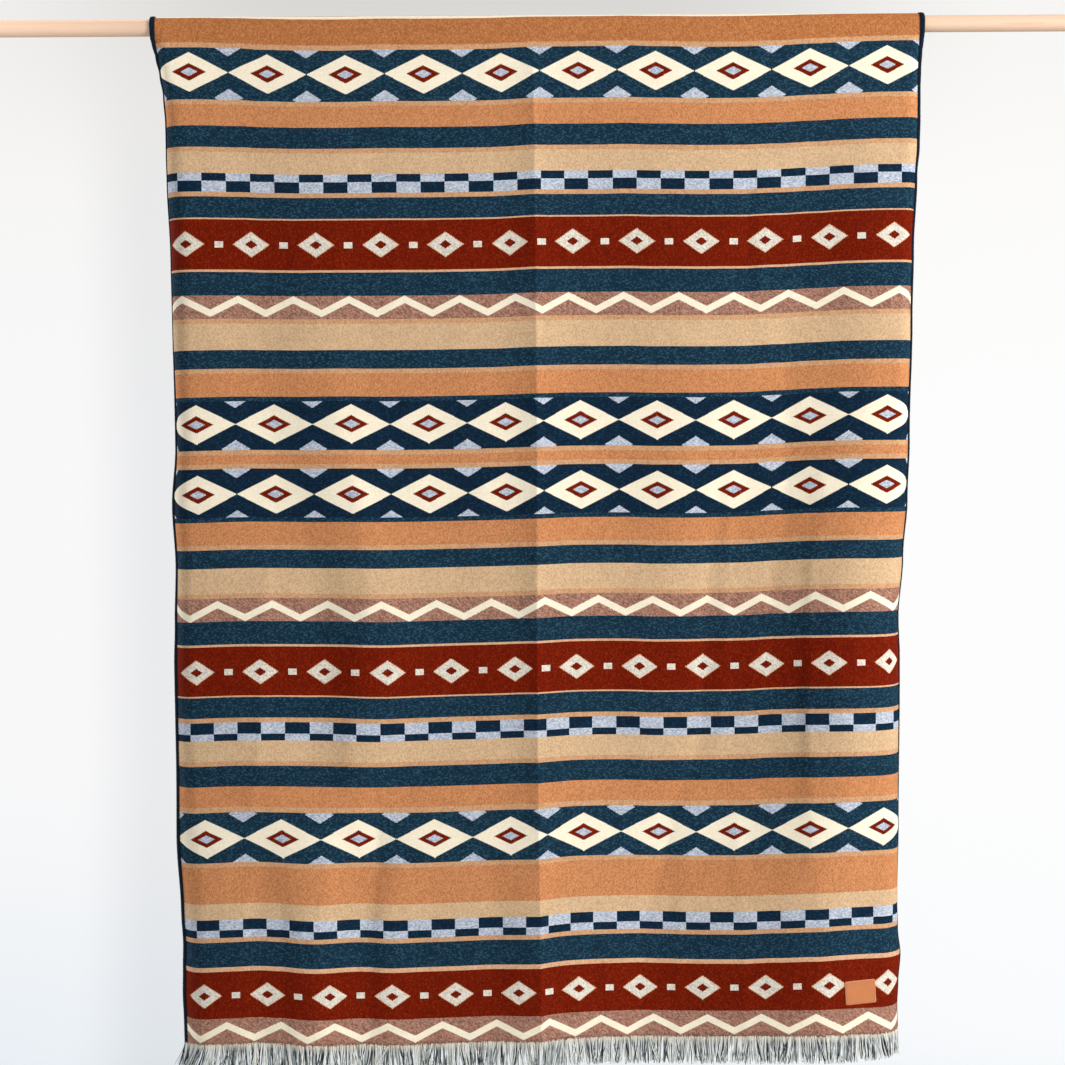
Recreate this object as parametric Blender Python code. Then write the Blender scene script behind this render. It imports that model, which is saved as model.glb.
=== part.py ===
"""Throw blanket hung over a plain wooden rod.

The frame: the origin is the middle of the rod's axis, +X runs along the rod
to the right as seen from the front, -Y is the front, +Z is up. Metres.

The blanket is one woven sheet. Its front panel hangs to the floor side of the
rod, it goes over the rod in a half turn, and a short panel hangs behind. The
panel isn't flat: soft folds grow from nothing at the rod to their full depth
lower down, a sharp storage crease runs down the middle, and both side edges
turn back. The sheet keeps its woven width all the way, so the outline narrows
by just what the folds and the turned edges take up.
"""
import math
from collections import namedtuple

import bmesh
import bpy
import numpy as np
from mathutils import Vector

# ---------------------------------------------------------------- dimensions
MM = 0.001
THROW_WIDTH = 1.300          # woven width, edging included
THROW_LENGTH = 2.000         # woven length, fringes not counted
CLOTH_T = 2.2 * MM           # thickness of the woven cloth
ROD_DIAMETER = 28.0 * MM
ROD_LENGTH = 1.900
ROD_SIDES = 32
ROD_BEVEL = 1.5 * MM
ROD_CLEARANCE = 2.4 * MM     # rod to the underside of the cloth
FRONT_DROP = 1.722           # rod axis to the front hem, on the centre line
FRINGE_LENGTH = 48.0 * MM
FRINGE_HEADER = 5.0 * MM
FRINGE_T = 2.4 * MM
GAP = 0.3 * MM               # between pieces that touch
EDGING_WRAP = 6.0 * MM       # how far the yarn reaches in over each face
EDGING_ARM = 0.9 * MM        # yarn thickness on each face
EDGING_GAP = 0.60 * MM       # the yarn's inside to the cloth, which twists there
EDGING_OUT = 1.6 * MM        # how far it stands out past the cloth's edge
LABEL_T = 1.6 * MM

HALF = THROW_WIDTH / 2 - EDGING_OUT          # cloth edge under the yarn
WRAP_R = ROD_DIAMETER / 2 + ROD_CLEARANCE + CLOTH_T / 2   # mid-surface radius
WRAP_STEPS = 8
BACK_DROP = THROW_LENGTH - FRONT_DROP - math.pi * WRAP_R

# How deep each fold is, in mm, at three heights below the rod. Positive is
# towards the front. across_* is where its middle runs, from the centre line.
Fold = namedtuple("Fold", "name across_upper across_middle across_lower half_width upper middle lower")
FOLDS = (
    Fold("left rim ridge",      -595, -528, -540, 107,  7,   4,  10),
    Fold("left ridge",          -426, -469, -414, 108, -2,   4,  20),
    Fold("left inner ridge",    -387, -294, -417, 105,  4,  15,   4),
    Fold("left middle fold",    -197, -149, -276,  73, -1,  -3,   6),
    Fold("centre ridge",          -7,  -11,  -35,  76,  5,   4,  10),
    Fold("right middle hollow",  104,  124,  136, 146, -7, -15, -20),
    Fold("right hollow",         425,  280,  238, 138, -3, -14, -18),
    Fold("right ridge",          577,  526,  473, 148, 15,  37,  23),
)
UPPER_H, MIDDLE_H, LOWER_H = 0.42, 1.10, 1.55
CREASE = 7.0 * MM            # height of the sharp crease down the middle
CREASE_LEFT, CREASE_RIGHT = 64 * MM, 48 * MM      # how far it reaches each way
CREASE_COLUMN = -13 * MM     # where the grid follows it

# How far each side edge comes in from the full half width, in mm, and how wide
# a strip of cloth turns back to do it.
Outline = namedtuple("Outline", "below_rod left_in left_strip right_in right_strip")
OUTLINE = (
    Outline(0,    0.0,   24,  0.0,  24),
    Outline(10,   0.03,  25,  0.02, 26),
    Outline(19,   0.5,   25,  0.2,  28),
    Outline(30,   2.8,   27,  1.2,  30),
    Outline(50,   7.6,   30,  3.2,  30),
    Outline(78,   13.2,  34,  5.0,  30),
    Outline(112,  18.0,  42,  6.2,  30),
    Outline(160,  20.4,  48,  6.6,  30),
    Outline(205,  20.8,  50,  8.0,  31),
    Outline(255,  21.4,  52,  12.0, 34),
    Outline(380,  25.2,  58,  17.8, 40),
    Outline(500,  26.0,  58,  20.0, 44),
    Outline(700,  26.2,  58,  25.2, 50),
    Outline(803,  19.8,  48,  29.4, 50),
    Outline(900,  23.4,  52,  36.4, 60),
    Outline(1004, 20.6,  50,  44.0, 68),
    Outline(1070, 18.6,  50,  41.6, 72),
    Outline(1215, 18.4,  54,  41.8, 68),
    Outline(1365, 17.0,  54,  41.8, 64),
    Outline(1495, 22.2,  56,  44.2, 68),
    Outline(1550, 24.2,  58,  42.1, 72),
    Outline(1590, 23.2,  56,  37.8, 70),
    Outline(1640, 22.2,  56,  41.6, 72),
    Outline(1680, 23.2,  56,  43.4, 74),
    Outline(1700, 23.4,  56,  43.0, 74),
    Outline(1760, 23.8,  56,  40.0, 74),
)
# How much of its turn an edge loses again at the stitched rim, which flares.
Flare = namedtuple("Flare", "below_rod left right")
FLARES = (
    Flare(0, 0.30, 0.30), Flare(150, 0.30, 0.46), Flare(230, 0.12, 0.52), Flare(500, 0.12, 0.52),
    Flare(640, 0.42, 0.52), Flare(760, 0.42, 0.42), Flare(1000, 0.40, 0.10), Flare(1760, 0.40, 0.0),
)
FLARE_WIDE = 22 * MM

# The blanket was hung a little askew: how much longer the front is than on the
# centre line, in mm.
Hang = namedtuple("Hang", "across longer")
HANG = (
    Hang(-650, 1.0), Hang(-515, -5.0), Hang(-235, 5.0), Hang(0, 1.0),
    Hang(211, 6.0), Hang(485, -3.5), Hang(650, 1.5),
)

# Stations down the front, in mm below the rod's axis, and down the back.
FRONT_STATIONS = (10, 19, 30, 50, 78, 112, 152, 200, 255, 320, 390, 465, 540, 615,
                  690, 750, 803, 860, 930, 1004, 1070, 1140, 1215, 1290, 1365,
                  1430, 1495, 1550, 1590)
LABEL_TOP, LABEL_BOTTOM = 1626, 1667      # mm below the rod
BACK_STATIONS = (10, 19, 30, 50, 80, 125, 175)

# Columns, in mm in from each edge, with the label between two of them.
LEFT_COLUMNS = (0, 6, 16, 28, 42, 60, 90, 124)
RIGHT_COLUMNS = (0, 6, 20, 42, 77, 105, 133, 160)
LABEL_COLUMNS = (4, 6)                    # places in RIGHT_COLUMNS
LEFT_CELLS, RIGHT_CELLS = 11, 10          # from there to the middle crease


# ------------------------------------------------------------------- surface
def smooth(t):
    t = min(1.0, max(0.0, t))
    return t * t * (3 - 2 * t)


def read(table, key, column, at):
    """The table's column at a place between its rows, eased between them."""
    rows = [(getattr(r, key), getattr(r, column)) for r in table]
    if at <= rows[0][0]:
        return rows[0][1]
    for (a, va), (b, vb) in zip(rows, rows[1:]):
        if at <= b:
            return va + (vb - va) * smooth((at - a) / (b - a))
    return rows[-1][1]


def between(upper, middle, lower, h):
    """A fold's value at height h, eased between its three stations."""
    if h <= UPPER_H:
        return upper
    if h <= MIDDLE_H:
        return upper + (middle - upper) * smooth((h - UPPER_H) / (MIDDLE_H - UPPER_H))
    return middle + (lower - middle) * smooth((h - MIDDLE_H) / (LOWER_H - MIDDLE_H))


def crease_here(h):
    """The middle crease is pressed in by storage, and flat only on the rod."""
    return smooth((h - 0.012) / 0.11) * (0.95 - 0.10 * math.cos(2.7 * h))


def crease_line(h):
    """Where the middle crease runs: a little left of the centre line."""
    return (-10.5 - 5.5 * smooth((h - 0.5) / 0.7)) * MM


def crease_slope(u, h):
    """Two soft slopes that meet in a sharp line."""
    line = crease_line(h)
    side = np.where(u < line, 1.0, -1.0)
    wide = np.where(u < line, CREASE_LEFT, CREASE_RIGHT)
    t = np.clip(np.abs(u - line) / wide, 0.0, 1.0)
    return side * 3 * CREASE * crease_here(h) / wide * (1 - t) ** 2


def fold_slope(u, h):
    """Slope of the folds across the cloth, as the sine of the surface angle."""
    slope = crease_slope(u, h)
    grow = smooth(h / UPPER_H)
    for f in FOLDS:
        middle = between(f.across_upper, f.across_middle, f.across_lower, h) * MM
        deep = between(f.upper, f.middle, f.lower, h) * MM * grow
        wide = f.half_width * MM
        t = (u - middle) / wide
        on = np.abs(t) < 1
        slope += np.where(on, -deep * math.pi / (2 * wide) * np.sin(math.pi * t), 0.0)
    return slope


def turned_angle(from_edge, strip, turn, flare):
    """Angle of the turned edge: flared at the rim, then easing to nothing."""
    t = np.clip((from_edge - EDGING_WRAP) / (strip - EDGING_WRAP), 0.0, 1.0)
    rim = np.clip(from_edge / FLARE_WIDE, 0.0, 1.0)
    return turn * (1 - t) * (1 - flare * (1 - rim * rim * (3 - 2 * rim)))


STEPS = 1300                              # 1 mm steps across the cloth
FINE_U = np.linspace(-HALF, HALF, STEPS + 1)


def running_sum(values):
    """Integral along FINE_U, zero on the centre line."""
    step = FINE_U[1] - FINE_U[0]
    total = np.concatenate([[0.0], np.cumsum((values[1:] + values[:-1]) * 0.5 * step)])
    return total - np.interp(0.0, FINE_U, total)


def section(h):
    """One level section of the front: x and depth along the woven width."""
    h_mm = h / MM
    base = np.arcsin(np.clip(fold_slope(FINE_U, h), -0.95, 0.95))
    angle = base.copy()
    for side in (-1, 1):
        name = "left" if side < 0 else "right"
        strip = read(OUTLINE, "below_rod", name + "_strip", h_mm) * MM
        want = HALF - read(OUTLINE, "below_rod", name + "_in", h_mm) * MM
        flare = read(FLARES, "below_rod", name, h_mm)
        from_edge = HALF - side * FINE_U
        here = side * FINE_U >= 0

        def reach(turn):
            a = np.where(here, base - side * turned_angle(from_edge, strip, turn, flare), base)
            x = running_sum(np.cos(a))
            return abs(x[0] if side < 0 else x[-1]), a

        low, high = 0.0, 2.2
        if reach(0.0)[0] > want:
            for _ in range(40):
                middle = 0.5 * (low + high)
                if reach(middle)[0] > want:
                    low = middle
                else:
                    high = middle
            turned = reach(0.5 * (low + high))[1]
            angle = np.where(here, turned, angle)
    x = running_sum(np.cos(angle))
    depth = running_sum(np.sin(angle))
    # The centre line stands a little forward of the rod, on the crease.
    depth += smooth(h / UPPER_H) * between(5, 9, 10, h) * MM + CREASE * crease_here(h)
    return x, depth


SECTIONS = {}


def section_at(u, h):
    key = round(h, 6)
    if key not in SECTIONS:
        SECTIONS[key] = section(h)
    x, depth = SECTIONS[key]
    return float(np.interp(u, FINE_U, x)), float(np.interp(u, FINE_U, depth))


def hang(u):
    return read(HANG, "across", "longer", u / MM) * MM


def front_point(u, h):
    """Mid-surface of the front panel, h below the rod on the centre line."""
    x, depth = section_at(u, h)
    drop = h + hang(u) * (h / FRONT_DROP) ** 2
    return Vector((x, -WRAP_R - depth, -drop))


def back_point(u, h):
    """The back panel follows the front's turned edges, a rod's width behind."""
    x, depth = section_at(u, h)
    drop = h * (BACK_DROP - hang(u)) / BACK_DROP
    return Vector((x, WRAP_R - depth, -drop))


def wrap_point(u, angle):
    return Vector((u, -WRAP_R * math.cos(angle), WRAP_R * math.sin(angle)))


def stations():
    """Functions of u, one for each station, front hem to back hem."""
    heights = [mm * MM for mm in FRONT_STATIONS + (LABEL_TOP, LABEL_BOTTOM)]
    heights += [0.5 * (LABEL_BOTTOM * MM + FRONT_DROP), FRONT_DROP]
    rows = [lambda u, h=h: front_point(u, h) for h in sorted(heights, reverse=True)]
    rows += [lambda u, a=math.pi * k / WRAP_STEPS: wrap_point(u, a) for k in range(WRAP_STEPS + 1)]
    rows += [lambda u, h=h: back_point(u, h) for h in [mm * MM for mm in BACK_STATIONS] + [BACK_DROP]]
    return rows


def columns():
    left = [-HALF + mm * MM for mm in LEFT_COLUMNS]
    right = [HALF - mm * MM for mm in reversed(RIGHT_COLUMNS)]
    middle = [left[-1] + (CREASE_COLUMN - left[-1]) * k / LEFT_CELLS for k in range(1, LEFT_CELLS + 1)]
    middle += [CREASE_COLUMN + (right[0] - CREASE_COLUMN) * k / RIGHT_CELLS for k in range(1, RIGHT_CELLS)]
    return left + middle + right


ROWS = stations()
COLS = columns()
MID = [[row(u) for u in COLS] for row in ROWS]
N_ROWS, N_COLS = len(ROWS), len(COLS)


def normal(i, j):
    """Outward normal (front side, over the top, back side) at a grid place."""
    along = MID[min(i + 1, N_ROWS - 1)][j] - MID[max(i - 1, 0)][j]
    if j == 0:
        across = MID[i][1] - MID[i][0]
    elif j == N_COLS - 1:
        across = MID[i][j] - MID[i][j - 1]
    else:
        across = (MID[i][j + 1] - MID[i][j]).normalized() + (MID[i][j] - MID[i][j - 1]).normalized()
    return across.cross(along).normalized()


NORMAL = [[normal(i, j) for j in range(N_COLS)] for i in range(N_ROWS)]


# ------------------------------------------------------------------- objects
def material(name, color, roughness, metallic=0.0):
    mat = bpy.data.materials.new(name)
    mat.use_nodes = True
    shader = mat.node_tree.nodes["Principled BSDF"]
    shader.inputs["Base Color"].default_value = (*color, 1.0)
    shader.inputs["Roughness"].default_value = roughness
    shader.inputs["Metallic"].default_value = metallic
    return mat


def add_object(name, bm, mat, smooth_shading=False):
    mesh = bpy.data.meshes.new(name)
    bm.to_mesh(mesh)
    bm.free()
    if smooth_shading:
        mesh.shade_smooth()
        mesh.set_sharp_from_angle(angle=math.radians(40))
    mesh.materials.append(mat)
    obj = bpy.data.objects.new(name, mesh)
    bpy.context.collection.objects.link(obj)
    return obj


def quad(bm, a, b, c, d):
    """Two triangles with the diagonal from a to c."""
    bm.faces.new((a, b, c))
    bm.faces.new((a, c, d))


def make_throw(mat):
    bm = bmesh.new()
    half_t = CLOTH_T / 2
    top = [[bm.verts.new(MID[i][j] + NORMAL[i][j] * half_t) for j in range(N_COLS)] for i in range(N_ROWS)]
    low = [[bm.verts.new(MID[i][j] - NORMAL[i][j] * half_t) for j in range(N_COLS)] for i in range(N_ROWS)]
    for i in range(N_ROWS - 1):
        for j in range(N_COLS - 1):
            flip = j < N_COLS // 2
            for grid, out in ((top, True), (low, False)):
                a, b, c, d = grid[i][j], grid[i][j + 1], grid[i + 1][j + 1], grid[i + 1][j]
                if flip:
                    faces = ((a, b, c), (a, c, d))
                else:
                    faces = ((a, b, d), (b, c, d))
                for f in faces:
                    bm.faces.new(f if out else tuple(reversed(f)))
        quad(bm, low[i][0], top[i][0], top[i + 1][0], low[i + 1][0])
        quad(bm, top[i][-1], low[i][-1], low[i + 1][-1], top[i + 1][-1])
    for j in range(N_COLS - 1):
        quad(bm, low[0][j], low[0][j + 1], top[0][j + 1], top[0][j])
        quad(bm, top[-1][j], top[-1][j + 1], low[-1][j + 1], low[-1][j])
    return add_object("throw", bm, mat, True)


def make_edging(name, side, mat):
    """Yarn wrapped round one side edge: a C section swept along the edge."""
    j = 0 if side < 0 else N_COLS - 1
    gap = EDGING_GAP
    inner = CLOTH_T / 2 + gap
    outer = inner + EDGING_ARM
    wrap, out = EDGING_WRAP, EDGING_OUT
    profile = ((wrap, inner), (wrap, outer), (-out, outer), (-out, -outer),
               (wrap, -outer), (wrap, -inner), (-gap, -inner), (-gap, inner))
    bm = bmesh.new()
    rings = []
    for i in range(N_ROWS):
        place = MID[i][j]
        inward = (MID[i][1] - place if side < 0 else MID[i][j - 1] - place).normalized()
        n = NORMAL[i][j]
        rings.append([bm.verts.new(place + inward * a + n * b) for a, b in profile])
    count = len(profile)
    for lower, upper in zip(rings, rings[1:]):
        for k in range(count):
            a, b = lower[k], lower[(k + 1) % count]
            c, d = upper[(k + 1) % count], upper[k]
            # Faces along the cloth share its diagonals, edge to inner side.
            faces = ((a, b, d), (b, c, d)) if k in (1, 5) else ((a, b, c), (a, c, d))
            for f in faces:
                bm.faces.new(f)
    for ring in (rings[0], rings[-1]):
        # The C is closed with four convex pieces, arm, web and arm.
        p = ring
        for f in ((p[0], p[1], p[2], p[7]), (p[7], p[2], p[3], p[6]), (p[6], p[3], p[4], p[5])):
            bm.faces.new(f)
    bmesh.ops.recalc_face_normals(bm, faces=bm.faces)
    return add_object(name, bm, mat, True)


def make_fringe(name, row, splay_left, splay_right, mat):
    """A comb along one hem: a header strip, and one tapered tooth for each cell."""
    bm = bmesh.new()
    half_t = FRINGE_T / 2

    def place(j, t, below, shift=0.0):
        """Point below the hem, between column j and the next."""
        a = MID[row][j].lerp(MID[row][j + 1], t)
        n = NORMAL[row][j].lerp(NORMAL[row][j + 1], t)
        n = Vector((n.x, n.y, 0)).normalized()
        down = Vector((0, 0, -1))
        return a + down * (GAP + below) + Vector((shift, 0, 0)), n

    def pair(p, n):
        return bm.verts.new(p + n * half_t), bm.verts.new(p - n * half_t)

    tops, bases = [], []
    for j in range(N_COLS):
        jj, t = (j, 0.0) if j < N_COLS - 1 else (j - 1, 1.0)
        tops.append(pair(*place(jj, t, 0.0)))
        bases.append(pair(*place(jj, t, FRINGE_HEADER)))
    for j in range(N_COLS - 1):
        u = 0.5 * (COLS[j] + COLS[j + 1])
        lean = splay_left * smooth((-u - 0.45) / 0.2) + splay_right * smooth((u - 0.50) / 0.15)
        lean += 2.0 * MM * math.sin(j * 2.4)
        length = FRINGE_LENGTH - 2.5 * MM * (1 + math.sin(j * 1.7))
        root_l, root_r = pair(*place(j, 0.10, FRINGE_HEADER)), pair(*place(j, 0.90, FRINGE_HEADER))
        tip_l, tip_r = pair(*place(j, 0.20, length, lean)), pair(*place(j, 0.80, length, lean))
        for s in (0, 1):
            header = (tops[j][s], tops[j + 1][s], bases[j + 1][s], root_r[s], root_l[s], bases[j][s])
            tooth = (root_l[s], root_r[s], tip_r[s], tip_l[s])
            for f in (header, tooth):
                bm.faces.new(f)
        for a, b in ((tops[j], tops[j + 1]), (bases[j + 1], root_r), (root_r, tip_r),
                     (tip_r, tip_l), (tip_l, root_l), (root_l, bases[j])):
            bm.faces.new((a[0], b[0], b[1], a[1]))
    for j in (0, N_COLS - 1):
        bm.faces.new((tops[j][0], bases[j][0], bases[j][1], tops[j][1]))
    bmesh.ops.recalc_face_normals(bm, faces=bm.faces)
    bmesh.ops.triangulate(bm, faces=bm.faces)
    return add_object(name, bm, mat)


def make_label(mat):
    """A flat leather patch that follows the cloth's own facets, just in front."""
    first, last = (N_COLS - 1 - LABEL_COLUMNS[1]), (N_COLS - 1 - LABEL_COLUMNS[0])
    heights = sorted([mm * MM for mm in FRONT_STATIONS + (LABEL_TOP, LABEL_BOTTOM)]
                     + [0.5 * (LABEL_BOTTOM * MM + FRONT_DROP), FRONT_DROP], reverse=True)
    low_row = heights.index(LABEL_BOTTOM * MM)
    high_row = heights.index(LABEL_TOP * MM)
    back_off = CLOTH_T / 2 + GAP
    bm = bmesh.new()
    grid = {}
    for i in range(low_row, high_row + 1):
        for j in range(first, last + 1):
            p, n = MID[i][j], NORMAL[i][j]
            grid[i, j] = (bm.verts.new(p + n * (back_off + LABEL_T)), bm.verts.new(p + n * back_off))
    for i in range(low_row, high_row):
        for j in range(first, last):
            a, b, c, d = grid[i, j], grid[i, j + 1], grid[i + 1, j + 1], grid[i + 1, j]
            for f in ((a[0], b[0], d[0]), (b[0], c[0], d[0]), (d[1], b[1], a[1]), (d[1], c[1], b[1])):
                bm.faces.new(f)
    for j in range(first, last):
        quad(bm, grid[low_row, j][1], grid[low_row, j + 1][1], grid[low_row, j + 1][0], grid[low_row, j][0])
        quad(bm, grid[high_row, j][0], grid[high_row, j + 1][0], grid[high_row, j + 1][1], grid[high_row, j][1])
    for i in range(low_row, high_row):
        quad(bm, grid[i, first][1], grid[i, first][0], grid[i + 1, first][0], grid[i + 1, first][1])
        quad(bm, grid[i, last][0], grid[i, last][1], grid[i + 1, last][1], grid[i + 1, last][0])
    bmesh.ops.recalc_face_normals(bm, faces=bm.faces)
    return add_object("label_patch", bm, mat)


def make_rod(mat):
    bm = bmesh.new()
    radius = ROD_DIAMETER / 2
    rings = []
    ends = ((-ROD_LENGTH / 2, radius - ROD_BEVEL), (-ROD_LENGTH / 2 + ROD_BEVEL, radius),
            (ROD_LENGTH / 2 - ROD_BEVEL, radius), (ROD_LENGTH / 2, radius - ROD_BEVEL))
    for x, r in ends:
        rings.append([bm.verts.new((x, r * math.cos(2 * math.pi * k / ROD_SIDES),
                                    r * math.sin(2 * math.pi * k / ROD_SIDES))) for k in range(ROD_SIDES)])
    for a, b in zip(rings, rings[1:]):
        for k in range(ROD_SIDES):
            bm.faces.new((a[k], a[(k + 1) % ROD_SIDES], b[(k + 1) % ROD_SIDES], b[k]))
    bm.faces.new(rings[0])
    bm.faces.new(rings[-1])
    bmesh.ops.recalc_face_normals(bm, faces=bm.faces)
    return add_object("rod", bm, mat, True)


def main():
    for obj in list(bpy.data.objects):
        bpy.data.objects.remove(obj, do_unlink=True)
    woven = material("woven_cloth", (0.33, 0.20, 0.12), 0.9)
    navy_yarn = material("navy_yarn", (0.015, 0.03, 0.055), 0.9)
    fringe_yarn = material("fringe_yarn", (0.55, 0.56, 0.54), 0.9)
    leather = material("leather", (0.64, 0.26, 0.09), 0.6)
    pine = material("pine", (0.78, 0.56, 0.38), 0.55)
    make_throw(woven)
    make_edging("edging_left", -1, navy_yarn)
    make_edging("edging_right", 1, navy_yarn)
    make_fringe("fringe_front", 0, -12 * MM, 5 * MM, fringe_yarn)
    make_fringe("fringe_back", N_ROWS - 1, -4 * MM, 4 * MM, fringe_yarn)
    make_label(leather)
    make_rod(pine)


main()
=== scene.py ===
"""Looks of the throw blanket on its rod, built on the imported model.

The cloth is one thin sheet on the same surface as its solid, with finer folds
laid over it, and its pattern is worked out in woven coordinates: u across the
cloth from the centre line, v along it from the front hem. Metres.
"""
import math
from collections import namedtuple

import bmesh
import bpy
import numpy as np
from mathutils import Matrix, Vector


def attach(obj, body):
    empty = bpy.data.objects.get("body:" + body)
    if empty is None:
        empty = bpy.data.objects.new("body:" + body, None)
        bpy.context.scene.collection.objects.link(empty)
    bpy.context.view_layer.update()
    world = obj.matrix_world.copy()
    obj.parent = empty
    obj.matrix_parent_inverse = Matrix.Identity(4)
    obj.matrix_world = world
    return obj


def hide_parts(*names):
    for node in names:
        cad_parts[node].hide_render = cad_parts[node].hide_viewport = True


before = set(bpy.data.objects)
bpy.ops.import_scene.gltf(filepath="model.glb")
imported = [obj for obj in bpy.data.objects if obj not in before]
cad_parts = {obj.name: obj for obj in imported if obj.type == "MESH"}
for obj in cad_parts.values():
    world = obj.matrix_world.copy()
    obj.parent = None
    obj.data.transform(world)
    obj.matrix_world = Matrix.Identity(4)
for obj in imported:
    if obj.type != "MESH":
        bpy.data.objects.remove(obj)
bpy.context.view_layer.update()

MM = 0.001

# =================================================================== surface
THROW_WIDTH, THROW_LENGTH = 1.300, 2.000
CLOTH_T = 2.2 * MM
ROD_DIAMETER, ROD_LENGTH, ROD_CLEARANCE = 28.0 * MM, 1.900, 2.4 * MM
FRONT_DROP = 1.722
FRINGE_LENGTH = 48.0 * MM
EDGING_WRAP, EDGING_OUT = 6.0 * MM, 1.6 * MM
HALF = THROW_WIDTH / 2 - EDGING_OUT
WRAP_R = ROD_DIAMETER / 2 + ROD_CLEARANCE + CLOTH_T / 2
BACK_DROP = THROW_LENGTH - FRONT_DROP - math.pi * WRAP_R
CREASE = 7.0 * MM            # height of the sharp crease down the middle
SETTLE = 1.1 * MM            # how much closer to the rod the cloth lies here than its solid

Fold = namedtuple("Fold", "name across_upper across_middle across_lower half_width upper middle lower")
FOLDS = (
    Fold("left rim ridge",      -595, -528, -540, 107,  7,   4,  10),
    Fold("left ridge",          -426, -469, -414, 108, -2,   4,  20),
    Fold("left inner ridge",    -387, -294, -417, 105,  4,  15,   4),
    Fold("left middle fold",    -197, -149, -276,  73, -1,  -3,   6),
    Fold("centre ridge",          -7,  -11,  -35,  76,  5,   4,  10),
    Fold("right middle hollow",  104,  124,  136, 146, -7, -15, -20),
    Fold("right hollow",         425,  280,  238, 138, -3, -14, -18),
    Fold("right ridge",          577,  526,  473, 148, 15,  37,  23),
)
UPPER_H, MIDDLE_H, LOWER_H = 0.42, 1.10, 1.55

# Narrow folds and creases that come and go down the cloth. Each is a list of
# (mm below the rod, mm across, depth in mm, width to its left, to its right);
# positive depth stands forward, and a pointed one has a sharp line.
Crease = namedtuple("Crease", "name pointed stations")
CREASES = (
    Crease("left ridge line", True, (
        (480, -352, 0.0, 40, 50), (593, -355, 1.2, 50, 55), (813, -320, 2.0, 24, 56),
        (947, -305, 2.2, 34, 64), (1172, -335, 1.8, 40, 72), (1320, -345, 0.0, 40, 60))),
    Crease("lower left ridge", True, (
        (1240, -376, 0.0, 24, 44), (1395, -381, 2.4, 24, 46), (1522, -398, 1.2, 50, 56), (1740, -400, 0.8, 50, 56))),
    Crease("lower left valley", True, (
        (1220, -296, 0.0, 48, 60), (1395, -293, -4.8, 44, 58), (1522, -306, -2.8, 50, 44), (1740, -308, -2.2, 50, 44))),
    Crease("left rim line", True, (
        (700, -480, 0.0, 34, 36), (813, -474, 0.8, 34, 36), (947, -474, 2.0, 40, 34), (1172, -487, 3.2, 58, 28),
        (1395, -510, 1.4, 42, 34), (1522, -528, 1.4, 50, 28), (1740, -530, 1.0, 50, 28))),
    Crease("left rim valley", True, (
        (1250, -480, 0.0, 38, 28), (1395, -478, -1.0, 38, 30), (1522, -460, -2.6, 34, 54), (1740, -456, -2.2, 34, 54))),
    Crease("upper right valley", True, (
        (180, 356, 0.0, 60, 30), (367, 351, -3.2, 62, 28), (460, 354, -2.2, 62, 34), (570, 362, 0.0, 60, 40))),
    Crease("right valley", True, (
        (400, 424, 0.0, 60, 40), (593, 417, -2.9, 72, 42), (813, 416, -1.8, 64, 46), (947, 390, -1.4, 56, 38), (1120, 378, 0.0, 50, 40))),
    Crease("right ridge line", True, (
        (700, 478, 0.0, 44, 70), (813, 474, 2.0, 44, 76), (947, 457, 2.4, 32, 36), (1172, 452, 3.4, 32, 72),
        (1395, 458, 2.2, 56, 54), (1522, 476, 1.8, 60, 66), (1740, 478, 1.2, 60, 66))),
    Crease("right middle valley", True, (
        (700, 306, 0.0, 40, 28), (813, 301, -1.6, 40, 24), (947, 283, -3.6, 54, 30), (1172, 268, -3.4, 50, 42),
        (1395, 212, -3.0, 60, 34), (1522, 170, -2.6, 56, 54), (1740, 160, -2.0, 56, 54))),
    Crease("right middle ridge", True, (
        (700, 320, 0.0, 26, 40), (813, 318, 1.6, 24, 40), (947, 312, 2.4, 22, 40), (1172, 304, 2.4, 30, 40),
        (1300, 280, 0.6, 30, 36), (1420, 240, 0.8, 24, 34), (1522, 231, 2.2, 20, 28), (1740, 228, 1.6, 20, 28))),
    Crease("lower right fold", True, (
        (1300, 330, 0.0, 20, 20), (1395, 331, 1.4, 20, 18), (1522, 343, 2.2, 28, 22), (1740, 346, 1.8, 28, 22))),
    Crease("low middle fold", False, (
        (1230, 95, 0.0, 40, 42), (1395, 95, 1.6, 40, 42), (1500, 94, 0.2, 44, 42), (1740, 92, -0.6, 46, 42))),
)

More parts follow.
